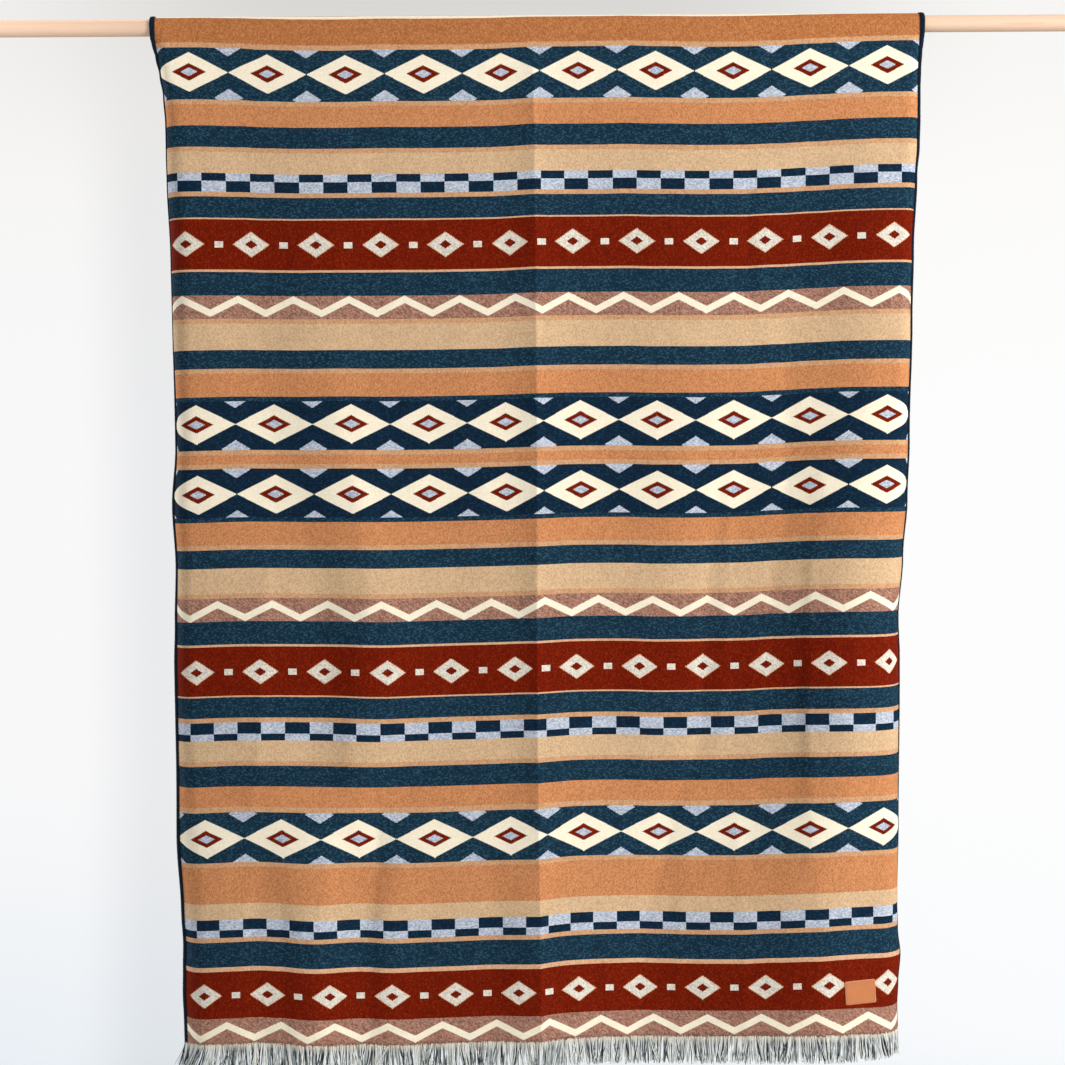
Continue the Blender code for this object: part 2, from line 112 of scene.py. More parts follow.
Outline = namedtuple("Outline", "below_rod left_in left_strip right_in right_strip")
OUTLINE = (
    Outline(0,    0.0,   24,  0.0,  24),
    Outline(10,   0.03,  25,  0.02, 26),
    Outline(19,   0.5,   25,  0.2,  28),
    Outline(30,   2.8,   27,  1.2,  30),
    Outline(50,   7.6,   30,  3.2,  30),
    Outline(78,   13.2,  34,  5.0,  30),
    Outline(112,  18.0,  42,  6.2,  30),
    Outline(160,  20.4,  48,  6.6,  30),
    Outline(205,  20.8,  50,  8.0,  31),
    Outline(255,  21.4,  52,  12.0, 34),
    Outline(380,  25.2,  58,  17.8, 40),
    Outline(500,  26.0,  58,  20.0, 44),
    Outline(700,  26.2,  58,  25.2, 50),
    Outline(803,  19.8,  48,  29.4, 50),
    Outline(900,  23.4,  52,  36.4, 60),
    Outline(1004, 20.6,  50,  44.0, 68),
    Outline(1070, 18.6,  50,  41.6, 72),
    Outline(1215, 18.4,  54,  41.8, 68),
    Outline(1365, 17.0,  54,  41.8, 64),
    Outline(1495, 22.2,  56,  44.2, 68),
    Outline(1550, 24.2,  58,  42.1, 72),
    Outline(1590, 23.2,  56,  37.8, 70),
    Outline(1640, 22.2,  56,  41.6, 72),
    Outline(1680, 23.2,  56,  43.4, 74),
    Outline(1700, 23.4,  56,  43.0, 74),
    Outline(1760, 23.8,  56,  40.0, 74),
)
# How much of its turn an edge loses again at the stitched rim, which flares.
Flare = namedtuple("Flare", "below_rod left right")
FLARES = (
    Flare(0, 0.30, 0.30), Flare(150, 0.30, 0.46), Flare(230, 0.12, 0.52), Flare(500, 0.12, 0.52),
    Flare(640, 0.42, 0.52), Flare(760, 0.42, 0.42), Flare(1000, 0.40, 0.10), Flare(1760, 0.40, 0.0),
)
FLARE_WIDE = 22 * MM
Hang = namedtuple("Hang", "across longer")
HANG = (
    Hang(-650, 1.0), Hang(-515, -5.0), Hang(-235, 5.0), Hang(0, 1.0),
    Hang(211, 6.0), Hang(485, -3.5), Hang(650, 1.5),
)
# The weft doesn't run dead straight: how far up it is lifted, in mm, at the
# rod and from the middle down.
Lift = namedtuple("Lift", "across at_rod at_middle")
LIFT = (
    Lift(-650, 6.2, 1.0), Lift(-580, 5.9, 1.3), Lift(-504, 3.3, 1.4), Lift(-464, 0.4, 0.8),
    Lift(-404, -1.7, -0.1), Lift(-340, -2.8, 0.2), Lift(-263, -1.4, -1.0), Lift(-190, -2.5, -1.3),
    Lift(-100, -2.4, -1.2), Lift(0, 0.7, 0.3), Lift(50, 0.7, 1.2), Lift(99, 0.7, 1.0),
    Lift(139, 1.5, 0.7), Lift(200, -0.7, -1.0), Lift(280, -2.7, -2.2), Lift(340, -2.7, -2.7),
    Lift(400, -1.3, -0.8), Lift(460, 1.0, 1.2), Lift(521, 3.4, 2.5), Lift(581, 4.7, 2.4), Lift(650, 5.2, 2.3),
)
TILT = 0.0049                # the whole pattern runs up to the right


def smooth(t):
    t = min(1.0, max(0.0, t))
    return t * t * (3 - 2 * t)


def smooth_np(t):
    t = np.clip(t, 0.0, 1.0)
    return t * t * (3 - 2 * t)


def eased(places, values, at):
    """values at a place between places, eased between them."""
    if at <= places[0]:
        return values[0]
    for a, b, va, vb in zip(places, places[1:], values, values[1:]):
        if at <= b:
            return va + (vb - va) * smooth((at - a) / (b - a))
    return values[-1]


def read(table, key, column, at):
    return eased([getattr(r, key) for r in table], [getattr(r, column) for r in table], at)


def between(upper, middle, lower, h):
    if h <= UPPER_H:
        return upper
    if h <= MIDDLE_H:
        return upper + (middle - upper) * smooth((h - UPPER_H) / (MIDDLE_H - UPPER_H))
    return middle + (lower - middle) * smooth((h - MIDDLE_H) / (LOWER_H - MIDDLE_H))


STEPS = 2600
FINE_U = np.linspace(-HALF, HALF, STEPS + 1)
STEP = FINE_U[1] - FINE_U[0]
MIDDLE = STEPS // 2


def one_fold(u, middle, deep, left, right, pointed):
    """Slope across the cloth of a fold that is deep high, left and right wide."""
    wide = np.where(u < middle, left, right)
    t = np.clip(np.abs(u - middle) / wide, 0.0, 1.0)
    side = np.where(u < middle, 1.0, -1.0)
    if pointed:
        return side * 3 * deep / wide * (1 - t) ** 2
    return side * deep * math.pi / (2 * wide) * np.sin(math.pi * t)


def fold_slope(u, h):
    slope = np.zeros_like(u)
    grow = smooth(h / UPPER_H)
    for f in FOLDS:
        middle = between(f.across_upper, f.across_middle, f.across_lower, h) * MM
        deep = between(f.upper, f.middle, f.lower, h) * MM * grow
        wide = f.half_width * MM
        slope += one_fold(u, middle, deep, wide, wide, False)
    slope += one_fold(u, crease_line(h), CREASE * crease_here(h), 64 * MM, 48 * MM, True)
    for c in CREASES:
        places = [s[0] * MM for s in c.stations]
        if places[0] < h < places[-1] + 0.01:
            middle, deep, left, right = (eased(places, [s[k] * MM for s in c.stations], h) for k in (1, 2, 3, 4))
            slope += one_fold(u, middle, deep, left, right, c.pointed)
    return slope


def crease_here(h):
    """The middle crease is pressed in by storage, and flat only on the rod."""
    return smooth((h - 0.012) / 0.11) * (0.95 - 0.10 * math.cos(2.7 * h))


def crease_line(h):
    """Where the middle crease runs: a little left of the centre line."""
    return (-10.5 - 5.5 * smooth((h - 0.5) / 0.7)) * MM


def turned_angle(from_edge, strip, turn, flare):
    """Angle of the turned edge: flared at the rim, then easing to nothing."""
    t = np.clip((from_edge - EDGING_WRAP) / (strip - EDGING_WRAP), 0.0, 1.0)
    return turn * (1 - t) * (1 - flare * (1 - smooth_np(from_edge / FLARE_WIDE)))


def running_sum(values):
    total = np.concatenate([[0.0], np.cumsum((values[1:] + values[:-1]) * 0.5 * STEP)])
    return total - total[MIDDLE]


def section(h):
    """One level section of the front: x and depth along the woven width."""
    h_mm = h / MM
    base = np.arcsin(np.clip(fold_slope(FINE_U, h), -0.95, 0.95))
    angle = base.copy()
    for side in (-1, 1):
        name = "left" if side < 0 else "right"
        strip = read(OUTLINE, "below_rod", name + "_strip", h_mm) * MM
        want = HALF - read(OUTLINE, "below_rod", name + "_in", h_mm) * MM
        flare = read(FLARES, "below_rod", name, h_mm)
        from_edge = HALF - side * FINE_U
        here = side * FINE_U >= 0

        def reach(turn):
            a = np.where(here, base - side * turned_angle(from_edge, strip, turn, flare), base)
            x = running_sum(np.cos(a))
            return abs(x[0] if side < 0 else x[-1]), a

        low, high = 0.0, 2.2
        if reach(0.0)[0] > want:
            for _ in range(34):
                middle = 0.5 * (low + high)
                if reach(middle)[0] > want:
                    low = middle
                else:
                    high = middle
            angle = np.where(here, reach(0.5 * (low + high))[1], angle)
    x = running_sum(np.cos(angle))
    depth = running_sum(np.sin(angle))
    depth += smooth(h / UPPER_H) * between(5, 9, 10, h) * MM + CREASE * crease_here(h)
    return x, depth


HANG_AT = [r.across * MM for r in HANG]


def hang(u):
    return eased(HANG_AT, [r.longer * MM for r in HANG], u)


def wrap_radius(h):
    return WRAP_R - SETTLE * (1 - smooth(h / 0.06))


def front_row(us, h):
    x, depth = section(h)
    drops = np.array([h + hang(u) * (h / FRONT_DROP) ** 2 for u in us])
    return np.stack([np.interp(us, FINE_U, x), -wrap_radius(h) - np.interp(us, FINE_U, depth), -drops], axis=1)


def back_row(us, h):
    x, depth = section(h)
    drops = np.array([h * (BACK_DROP - hang(u)) / BACK_DROP for u in us])
    return np.stack([np.interp(us, FINE_U, x), wrap_radius(h) - np.interp(us, FINE_U, depth), -drops], axis=1)


def wrap_row(us, angle):
    n, radius = len(us), wrap_radius(0.0)
    return np.stack([np.array(us), np.full(n, -radius * math.cos(angle)), np.full(n, radius * math.sin(angle))], axis=1)


def spaced(start, stop, step):
    n = max(1, int(round(abs(stop - start) / step)))
    return [start + (stop - start) * k / n for k in range(n)]


def make_columns():
    """Places across the cloth, in metres, closer at the crease and the edges."""
    left = spaced(-HALF, -HALF + 0.021, 0.003) + spaced(-HALF + 0.021, -HALF + 0.060, 0.0048)
    left += spaced(-HALF + 0.060, -0.042, 0.0076) + spaced(-0.042, -0.024, 0.003)
    crease = spaced(-0.024, -0.003, 0.0014)
    right = spaced(-0.003, 0.021, 0.003) + spaced(0.021, HALF - 0.060, 0.0076)
    right += spaced(HALF - 0.060, HALF - 0.021, 0.0048) + spaced(HALF - 0.021, HALF, 0.003)
    return np.array(left + crease + right + [HALF])


def make_rows():
    """(kind, place, distance along the cloth from the front hem), hem to hem."""
    rows = [("front", h, FRONT_DROP - h) for h in spaced(FRONT_DROP, 0.110, 0.0108)]
    rows += [("front", h, FRONT_DROP - h) for h in spaced(0.110, 0.0, 0.0065) if h > 0.003]
    steps = 16
    rows += [("wrap", math.pi * k / steps, FRONT_DROP + WRAP_R * math.pi * k / steps) for k in range(steps + 1)]
    turn = FRONT_DROP + WRAP_R * math.pi
    rows += [("back", h, turn + h) for h in spaced(0.0, 0.060, 0.0065) if h > 0.003]
    rows += [("back", h, turn + h) for h in spaced(0.060, BACK_DROP, 0.0105)]
    rows.append(("back", BACK_DROP, turn + BACK_DROP))
    return rows


COLS = make_columns()
ROWS = make_rows()
MAKERS = {"front": front_row, "wrap": wrap_row, "back": back_row}
GRID = np.array([MAKERS[kind](COLS, place) for kind, place, _ in ROWS])      # rows, columns, xyz
ALONG = np.array([v for _, _, v in ROWS])


def grid_normals(grid):
    across = np.gradient(grid, axis=1)
    along = np.gradient(grid, axis=0)
    n = np.cross(across, along)
    return n / np.linalg.norm(n, axis=2, keepdims=True)


NORMALS = grid_normals(GRID)


def soft_noise(seed, u_cell, v_cell):
    """Smooth random field over the cloth, about -1 to 1."""
    rng = np.random.default_rng(seed)
    nu, nv = int(1.4 / u_cell) + 3, int(2.1 / v_cell) + 3
    table = rng.uniform(-1, 1, (nv, nu))
    a = (ALONG / v_cell)[:, None] + np.zeros_like(COLS)[None, :]
    b = ((COLS + 0.7) / u_cell)[None, :] + np.zeros_like(ALONG)[:, None]
    i, j = a.astype(int), b.astype(int)
    s, t = smooth_np(a - i), smooth_np(b - j)
    return ((1 - s) * (1 - t) * table[i, j] + (1 - s) * t * table[i, j + 1]
            + s * (1 - t) * table[i + 1, j] + s * t * table[i + 1, j + 1])


def loosened(grid):
    """A little unevenness that a soft cloth always has, none at rod and rims."""
    free = smooth_np((FRONT_DROP - 0.03 - ALONG) / 0.20)[:, None]
    rim = smooth_np((HALF - np.abs(COLS)) / 0.05)[None, :]
    bumps = 0.55 * MM * soft_noise(3, 0.060, 0.150) + 0.30 * MM * soft_noise(5, 0.026, 0.055)
    return grid + NORMALS * (bumps * free * rim)[:, :, None]


GRID = loosened(GRID)
NORMALS = grid_normals(GRID)


def lifted():
    """How far the pattern is lifted up the cloth at each grid place, metres."""
    at_rod = np.array([read(LIFT, "across", "at_rod", c / MM) for c in COLS]) * MM
    at_middle = np.array([read(LIFT, "across", "at_middle", c / MM) for c in COLS]) * MM
    h = FRONT_DROP - ALONG
    down = np.clip(h / 0.63, 0.0, 1.0)[:, None]
    lift = at_rod[None, :] * (1 - down) + at_middle[None, :] * down + TILT * COLS[None, :]
    at_hem = smooth_np(ALONG / 0.16)[:, None]
    behind = 1 - smooth_np((ALONG - FRONT_DROP - 0.02) / 0.20)[:, None]
    return lift * at_hem * behind


PATTERN_V = ALONG[:, None] - lifted()


# ================================================================= materials
def rgb(r, g, b):
    """Linear colour from the 0 to 255 values seen on a screen."""
    def one(c):
        c /= 255.0
        return c / 12.92 if c <= 0.04045 else ((c + 0.055) / 1.055) ** 2.4
    return (one(r), one(g), one(b), 1.0)


def dyed(r, g, b, k=0.95):
    """A yarn's own colour, from how it looks in the light it hangs in."""
    return tuple(min(0.92, c * k) for c in rgb(r, g, b)[:3]) + (1.0,)


class Tree:
    """Short calls for building one material's nodes."""

    def __init__(self, name):
        self.mat = bpy.data.materials.new(name)
        self.mat.use_nodes = True
        self.nodes = self.mat.node_tree.nodes
        self.links = self.mat.node_tree.links
        self.shader = self.nodes["Principled BSDF"]
        self.output = self.nodes["Material Output"]

    def put(self, socket, value):
        if isinstance(value, bpy.types.NodeSocket):
            self.links.new(value, socket)
        else:
            socket.default_value = value

    def math(self, op, *args, clamp=False):
        n = self.nodes.new("ShaderNodeMath")
        n.operation, n.use_clamp = op, clamp
        for k, a in enumerate(args):
            self.put(n.inputs[k], a)
        return n.outputs[0]

    def add(self, a, b): return self.math("ADD", a, b)
    def sub(self, a, b): return self.math("SUBTRACT", a, b)
    def mul(self, a, b): return self.math("MULTIPLY", a, b)
    def less(self, a, b): return self.math("LESS_THAN", a, b)
    def both(self, a, b): return self.math("MULTIPLY", a, b)
    def either(self, a, b): return self.math("MAXIMUM", a, b)
    def size(self, a): return self.math("ABSOLUTE", a)
    def floor(self, a): return self.math("FLOOR", a)

    def stepped(self, a, step):
        """a moved to the middle of its step."""
        return self.mul(self.add(self.floor(self.mul(a, 1.0 / step)), 0.5), step)

    def in_repeat(self, a, period):
        """Distance from the middle of the repeat that a is in, signed."""
        f = self.math("FRACT", self.mul(a, 1.0 / period))
        return self.mul(self.sub(f, 0.5), period)

    def vector(self, x=0.0, y=0.0, z=0.0):
        n = self.nodes.new("ShaderNodeCombineXYZ")
        for k, a in enumerate((x, y, z)):
            self.put(n.inputs[k], a)
        return n.outputs[0]

    def split(self, vec):
        n = self.nodes.new("ShaderNodeSeparateXYZ")
        self.put(n.inputs[0], vec)
        return n.outputs[0], n.outputs[1], n.outputs[2]

    def mix(self, factor, a, b, blend="MIX"):
        n = self.nodes.new("ShaderNodeMix")
        n.data_type, n.blend_type = "RGBA", blend
        n.clamp_factor = True
        self.put(n.inputs[0], factor)
        self.put(n.inputs[6], a)
        self.put(n.inputs[7], b)
        return n.outputs[2]

    def ramp(self, value, stops, interpolation="CONSTANT"):
        n = self.nodes.new("ShaderNodeValToRGB")
        self.put(n.inputs[0], value)
        r = n.color_ramp
        r.interpolation = interpolation
        while len(r.elements) > 1:
            r.elements.remove(r.elements[-1])
        r.elements[0].position, r.elements[0].color = stops[0]
        for place, color in stops[1:]:
            r.elements.new(place).color = color
        return n.outputs[0]

    def noise(self, vec, scale, detail=2.0, rough=0.5):
        n = self.nodes.new("ShaderNodeTexNoise")
        n.noise_dimensions = "3D"
        self.put(n.inputs["Vector"], vec)
        n.inputs["Scale"].default_value = scale
        n.inputs["Detail"].default_value = detail
        n.inputs["Roughness"].default_value = rough
        return n.outputs[0]

    def white(self, vec):
        n = self.nodes.new("ShaderNodeTexWhiteNoise")
        n.noise_dimensions = "3D"
        self.put(n.inputs["Vector"], vec)
        return n.outputs["Value"]

    def uv(self, name):
        n = self.nodes.new("ShaderNodeUVMap")
        n.uv_map = name
        return self.split(n.outputs[0])[:2]

    def place(self):
        return self.nodes.new("ShaderNodeNewGeometry").outputs["Position"]

    def bump(self, height, distance, strength=1.0, under=None):
        n = self.nodes.new("ShaderNodeBump")
        n.inputs["Strength"].default_value = strength
        n.inputs["Distance"].default_value = distance
        self.put(n.inputs["Height"], height)
        if under is not None:
            self.put(n.inputs["Normal"], under)
        return n.outputs[0]

    def finish(self, color=None, roughness=0.9, normal=None, sheen=0.0, specular=0.3):
        s = self.shader.inputs
        if color is not None:
            self.put(s["Base Color"], color)
        self.put(s["Roughness"], roughness)
        s["Specular IOR Level"].default_value = specular
        if sheen:
            s["Sheen Weight"].default_value = sheen
            s["Sheen Roughness"].default_value = 0.5
        if normal is not None:
            self.put(s["Normal"], normal)
        return self.mat


# What shows most of each yarn, its darker and its lighter flecks, how many of
# each there are, the weave that sets their shape, and how clear they are.
HEATHER, DASHES, TWILL = 0.0, 0.5, 1.0
Yarn = namedtuple("Yarn", "ground dark light darks lights weave clear")
YARNS = {
    "orange": Yarn(dyed(203, 136, 90), dyed(150, 84, 44), dyed(232, 168, 114), 0.26, 0.22, HEATHER, 0.34),
    # orange darkened as painted shade, for the band that lies on the rod
    "orange_painted_shade":  Yarn(dyed(185, 117, 70), dyed(140, 76, 38), dyed(218, 152, 96), 0.26, 0.20, HEATHER, 0.40),
    "tan":    Yarn(dyed(206, 158, 118), dyed(166, 112, 72), dyed(230, 184, 140), 0.24, 0.20, HEATHER, 0.40),
    "peach":  Yarn(dyed(217, 171, 134), dyed(184, 128, 90), dyed(238, 198, 164), 0.20, 0.20, HEATHER, 0.40),
    "khaki":  Yarn(dyed(213, 178, 140), dyed(172, 134, 94), dyed(236, 206, 166), 0.28, 0.22, HEATHER, 0.34),
    "mauve":  Yarn(dyed(164, 120, 102), dyed(92, 54, 46), dyed(206, 160, 136), 0.30, 0.22, TWILL, 0.52),
    "navy":   Yarn(dyed(24, 51, 69), dyed(10, 26, 40), dyed(56, 94, 114), 0.26, 0.20, DASHES, 0.52),
    "block":  Yarn(dyed(16, 38, 58), dyed(8, 22, 38), dyed(34, 68, 90), 0.22, 0.14, DASHES, 0.50),
    "pale":   Yarn(dyed(186, 194, 208), dyed(120, 132, 156), dyed(228, 232, 240), 0.28, 0.26, DASHES, 0.46),
    "cream":  Yarn(dyed(255, 239, 214), dyed(240, 220, 188), dyed(255, 248, 232), 0.16, 0.20, HEATHER, 0.22),
    "brick":  Yarn(dyed(116, 26, 4), dyed(84, 14, 2), dyed(144, 46, 18), 0.28, 0.14, HEATHER, 0.55),
    "white":  Yarn(dyed(227, 217, 202), dyed(164, 158, 149), dyed(248, 241, 229), 0.26, 0.24, TWILL, 0.46),
}
# Bands from either hem to the middle of the cloth, in mm, and their ornament.
Band = namedtuple("Band", "width yarn ornament")
BANDS = (
    Band(46, "mauve", "zigzag"),
    Band(82, "brick", "lozenges"),
    Band(5, "peach", None),
    Band(44, "navy", None),
    Band(8, "tan", None),
    Band(30, "block", "checks"),
    Band(30, "khaki", None),
    Band(62, "orange", None),
    Band(8, "tan", None),
    Band(84, "navy", "diamonds"),
    Band(8, "tan", None),
    Band(38, "orange", None),
    Band(34, "navy", None),
    Band(8, "tan", None),
    Band(34, "khaki", None),
    Band(30, "block", "checks"),
    Band(8, "tan", None),
    Band(36, "navy", None),
    Band(5, "peach", None),
    Band(82, "brick", "lozenges"),
    Band(5, "peach", None),
    Band(36, "navy", None),
    Band(42, "mauve", "zigzag"),
    Band(8, "tan", None),
    Band(42, "khaki", None),
    Band(30, "navy", None),
    Band(8, "tan", None),
    Band(38, "orange", None),
    Band(8, "navy", None),
    Band(84, "block", "diamonds"),
    Band(8, "tan", None),
    Band(60, "orange", None),
)
ORNAMENTS = {None: 0.0, "zigzag": 0.2, "lozenges": 0.4, "checks": 0.6, "diamonds": 0.8}


def flecks(y):
    """A yarn's darker and lighter flecks, as clear as they show on its ground."""
    def toned(other):
        return tuple(a + (b - a) * y.clear for a, b in zip(y.ground[:3], other[:3])) + (1.0,)
    return toned(y.dark), toned(y.light)


def band_stops(first, last):
    """Ramp stops of bands first to last: three colours, ornament and weave."""
    tables = [[], [], [], [], []]
    at = sum(b.width for b in BANDS[:first]) * MM
    for b in BANDS[first:last]:
        y = YARNS[b.yarn]
        place = at if tables[0] else 0.0
        ornament = (at + 0.5 * b.width * MM, ORNAMENTS[b.ornament], 0.0, 1.0)
        weave = (y.darks, y.lights, y.weave, 1.0)
        for table, value in zip(tables, (y.ground, *flecks(y), ornament, weave)):
            table.append((place, value))
        at += b.width * MM
    return tables


def woven_material(name, reverse=False):
    t = Tree(name)
    u, v = t.uv("Woven")
    # The weave's own grid: a motif's edge steps from thread to thread.
    pick = 1.3 * MM
    us, vs = t.stepped(u, pick), t.stepped(v, pick)
    w = t.sub(1.0, t.size(t.sub(vs, 1.0)))
    cut = 19
    half_way = sum(b.width for b in BANDS[:cut]) * MM
    low, high = band_stops(0, cut), band_stops(cut, len(BANDS))
    upper = t.math("GREATER_THAN", w, half_way)
    ground, dark, light, facts, weave = (t.mix(upper, t.ramp(w, a), t.ramp(w, b)) for a, b in zip(low, high))
    centre, kind, _ = t.split(facts)
    y = t.sub(w, centre)

    def is_kind(ornament):
        return t.math("COMPARE", kind, ORNAMENTS[ornament], 0.05)

    def lay(mask, yarn):
        nonlocal ground, dark, light, weave
        of = YARNS[yarn]
        darker, lighter = flecks(of)
        ground = t.mix(mask, ground, of.ground)
        dark = t.mix(mask, dark, darker)
        light = t.mix(mask, light, lighter)
        weave = t.mix(mask, weave, (of.darks, of.lights, of.weave, 1.0))

    def diamond(x, y, wide, high):
        """Below 1 inside a diamond of that half width and half height."""
        return t.add(t.mul(t.size(x), 1.0 / wide), t.mul(t.size(y), 1.0 / high))

    # The band that lies on the rod is orange darkened as painted shade, with a painted highlight line over it.
    lay(t.less(t.size(t.sub(vs, 1.7144)), 0.0219), "orange_painted_shade")
    # A cream line laid over the crest as a painted highlight where the cloth turns over the rod.
    lay(t.less(t.size(t.sub(vs, 1.7413)), 0.0050), "cream")
    # Zigzag line.
    x = t.size(t.in_repeat(us, 0.0930))
    line = t.mul(t.sub(x, 0.02325), 0.50)
    lay(t.both(is_kind("zigzag"), t.less(t.size(t.sub(y, line)), 0.0062)), "cream")
    # Hollow lozenges with a dot between them.
    x = t.in_repeat(us, 0.1084)
    d = diamond(x, y, 0.0290, 0.0200)
    here = is_kind("lozenges")
    lay(t.both(here, t.less(d, 1.07)), "peach")
    lay(t.both(here, t.less(d, 1.0)), "white")
    lay(t.both(here, t.less(d, 0.36)), "brick")
    x2 = t.in_repeat(t.add(us, 0.0542), 0.1084)
    dot = t.both(t.less(t.size(x2), 0.0072), t.less(t.size(y), 0.0052))
    lay(t.both(here, dot), "white")
    # Two rows of checks.
    parity = t.add(t.floor(t.mul(us, 1 / 0.0406)), t.math("GREATER_THAN", y, 0.0))
    odd = t.math("GREATER_THAN", t.math("FLOORED_MODULO", parity, 2.0), 0.5)
    lay(t.both(is_kind("checks"), odd), "pale")
    # A chain of diamonds, point to point, with small points between.
    x = t.in_repeat(us, 0.1300)
    d = diamond(x, y, 0.0650, 0.0330)
    here = is_kind("diamonds")
    lay(t.both(here, t.less(d, 1.0)), "cream")
    lay(t.both(here, t.less(d, 0.44)), "brick")
    lay(t.both(here, t.less(d, 0.22)), "pale")
    x2 = t.in_repeat(t.add(us, 0.0650), 0.1300)
    rim = t.sub(t.size(y), 0.0420)
    lay(t.both(here, t.less(diamond(x2, rim, 0.0240, 0.0150), 1.0)), "pale")

    # Flecks, one random number for each stitch. Heather has short upright runs,
    # dashes lie along the weft, and a twill climbs in slanting lines.
    darks, lights, style = t.split(weave)

    def cells(a, b, long_a, long_b, seed):
        lane = t.floor(t.mul(b, 1 / long_b))
        shift = t.mul(t.white(t.vector(lane, seed, 1.0)), 7.0)
        return t.white(t.vector(lane, t.floor(t.add(t.mul(a, 1 / long_a), shift)), seed))

    heather = cells(v, u, 2.3 * MM, 1.9 * MM, 5.0)
    dashes = cells(u, v, 2.8 * MM, 1.6 * MM, 6.0)
    twill = cells(v, t.add(u, t.mul(v, 0.9)), 2.3 * MM, 1.8 * MM, 8.0)
    is_twill = t.math("GREATER_THAN", style, 0.75)
    is_dashes = t.both(t.math("GREATER_THAN", style, 0.25), t.less(style, 0.75))
    thread = t.add(t.mul(heather, t.math("SUBTRACT", t.sub(1.0, is_twill), is_dashes)),
                   t.add(t.mul(twill, is_twill), t.mul(dashes, is_dashes)))
    color = t.mix(t.less(thread, darks), ground, dark)
    color = t.mix(t.math("GREATER_THAN", thread, t.sub(1.0, lights)), color, light)
    # Uneven dye: soft clouds, and each pick and stitch a little lighter or darker.
    cloud = t.noise(t.vector(u, v, 0.0), 26.0, 3.0, 0.6)
    fine = t.white(t.vector(t.floor(t.mul(u, 1 / 0.0017)), t.floor(t.mul(v, 1 / 0.0020)), 4.0))
    row = t.noise(t.vector(t.mul(u, 9.0), t.mul(v, 420.0), 0.0), 1.0, 1.0, 0.5)
    shade = t.add(t.mul(t.sub(cloud, 0.5), 0.14), t.mul(t.sub(fine, 0.5), 0.10))
    shade = t.add(shade, t.mul(t.sub(row, 0.5), 0.10))
    shade = t.add(shade, 1.0)
    if reverse:
        color = t.mix(0.30, color, rgb(120, 104, 92))
    n = t.nodes.new("ShaderNodeVectorMath")
    n.operation = "SCALE"
    t.put(n.inputs[0], color)
    t.put(n.inputs["Scale"], shade)
    color = n.outputs[0]

    # Weave relief: warp and weft threads cross over and under.
    wu = t.math("SINE", t.mul(u, math.pi / 0.0013))
    wv = t.math("SINE", t.mul(v, math.pi / 0.0013))
    over = t.math("ABSOLUTE", t.add(t.mul(wu, 0.6), t.mul(wv, 0.8)))
    height = t.add(over, t.mul(thread, 0.7))
    pucker = t.noise(t.vector(u, t.mul(v, 0.55), 0.0), 46.0, 2.0, 0.55)
    normal = t.bump(pucker, 1.2 * MM, 0.5)
    normal = t.bump(height, 0.16 * MM, 0.55, under=normal)
    rough = t.add(0.86, t.mul(t.sub(thread, 0.5), 0.12))
    return t.finish(color, rough, normal, specular=0.05)


def yarn_material(name, dark, light, uv=True):
    """Stitched yarn: painted shade in the grooves of its twist, twisted along its length."""
    t = Tree(name)
    u, v = t.uv("Strand")
    twist_relief_and_groove_shade = t.math("SINE", t.add(t.mul(v, 2400.0), t.mul(u, 6.28)))
    n = t.noise(t.place(), 900.0, 2.0, 0.6)
    # The twist's grooves are darker as painted shade, the noise is the yarn's own uneven tone.
    f = t.add(t.mul(twist_relief_and_groove_shade, 0.25), t.mul(n, 0.6))
    color = t.mix(f, dark, light)
    return t.finish(color, 0.9, t.bump(t.add(twist_relief_and_groove_shade, n), 0.2 * MM, 0.6), sheen=0.04, specular=0.1)


def fringe_material():
    """Loose yarn ends: each strand has its own tone, pale where it starts."""
    t = Tree("fringe_yarn")
    tone, down = t.uv("Strand")
    own = t.ramp(tone, ((0.0, dyed(14, 22, 30)), (0.20, dyed(46, 56, 64)), (0.30, dyed(110, 119, 122)),
                        (0.50, dyed(160, 168, 168)), (0.60, dyed(204, 209, 206)), (0.80, dyed(230, 233, 229)),
                        (1.0, dyed(248, 246, 238))), "LINEAR")
    pale = dyed(240, 231, 211)
    near = t.math("SUBTRACT", 1.0, t.mul(down, 3.8), clamp=True)
    color = t.mix(t.mul(near, 0.80), own, pale)
    n = t.noise(t.place(), 700.0, 2.0, 0.6)
    n2 = t.nodes.new("ShaderNodeVectorMath")
    n2.operation = "SCALE"
    t.put(n2.inputs[0], color)
    t.put(n2.inputs["Scale"], t.add(0.72, t.mul(n, 0.50)))
    return t.finish(n2.outputs[0], 0.85, t.bump(n, 0.3 * MM, 0.5), sheen=0.2, specular=0.2)


def leather_material():
    t = Tree("leather")
    p = t.place()
    big = t.noise(p, 60.0, 4.0, 0.6)
    fine = t.noise(p, 900.0, 3.0, 0.6)
    cells = t.nodes.new("ShaderNodeTexVoronoi")
    t.put(cells.inputs["Vector"], p)
    cells.inputs["Scale"].default_value = 1100.0
    pores = cells.outputs["Distance"]
    color = t.mix(big, dyed(194, 116, 66), dyed(208, 133, 81))
    color = t.mix(t.mul(fine, 0.5), color, dyed(185, 108, 63))
    # Paler cut rim: the patch's own coordinates run from 0 to 1.
    a, b = t.uv("Patch")
    rim = t.math("MINIMUM", t.math("MINIMUM", a, t.sub(1.0, a)), t.math("MINIMUM", b, t.sub(1.0, b)))
    edge = t.math("SUBTRACT", 1.0, t.mul(rim, 22.0), clamp=True)
    color = t.mix(t.mul(edge, 0.7), color, dyed(216, 150, 108))
    rough = t.add(0.42, t.mul(fine, 0.25))
    return t.finish(color, rough, t.bump(t.add(pores, t.mul(fine, 0.6)), 0.10 * MM, 0.7), specular=0.4)


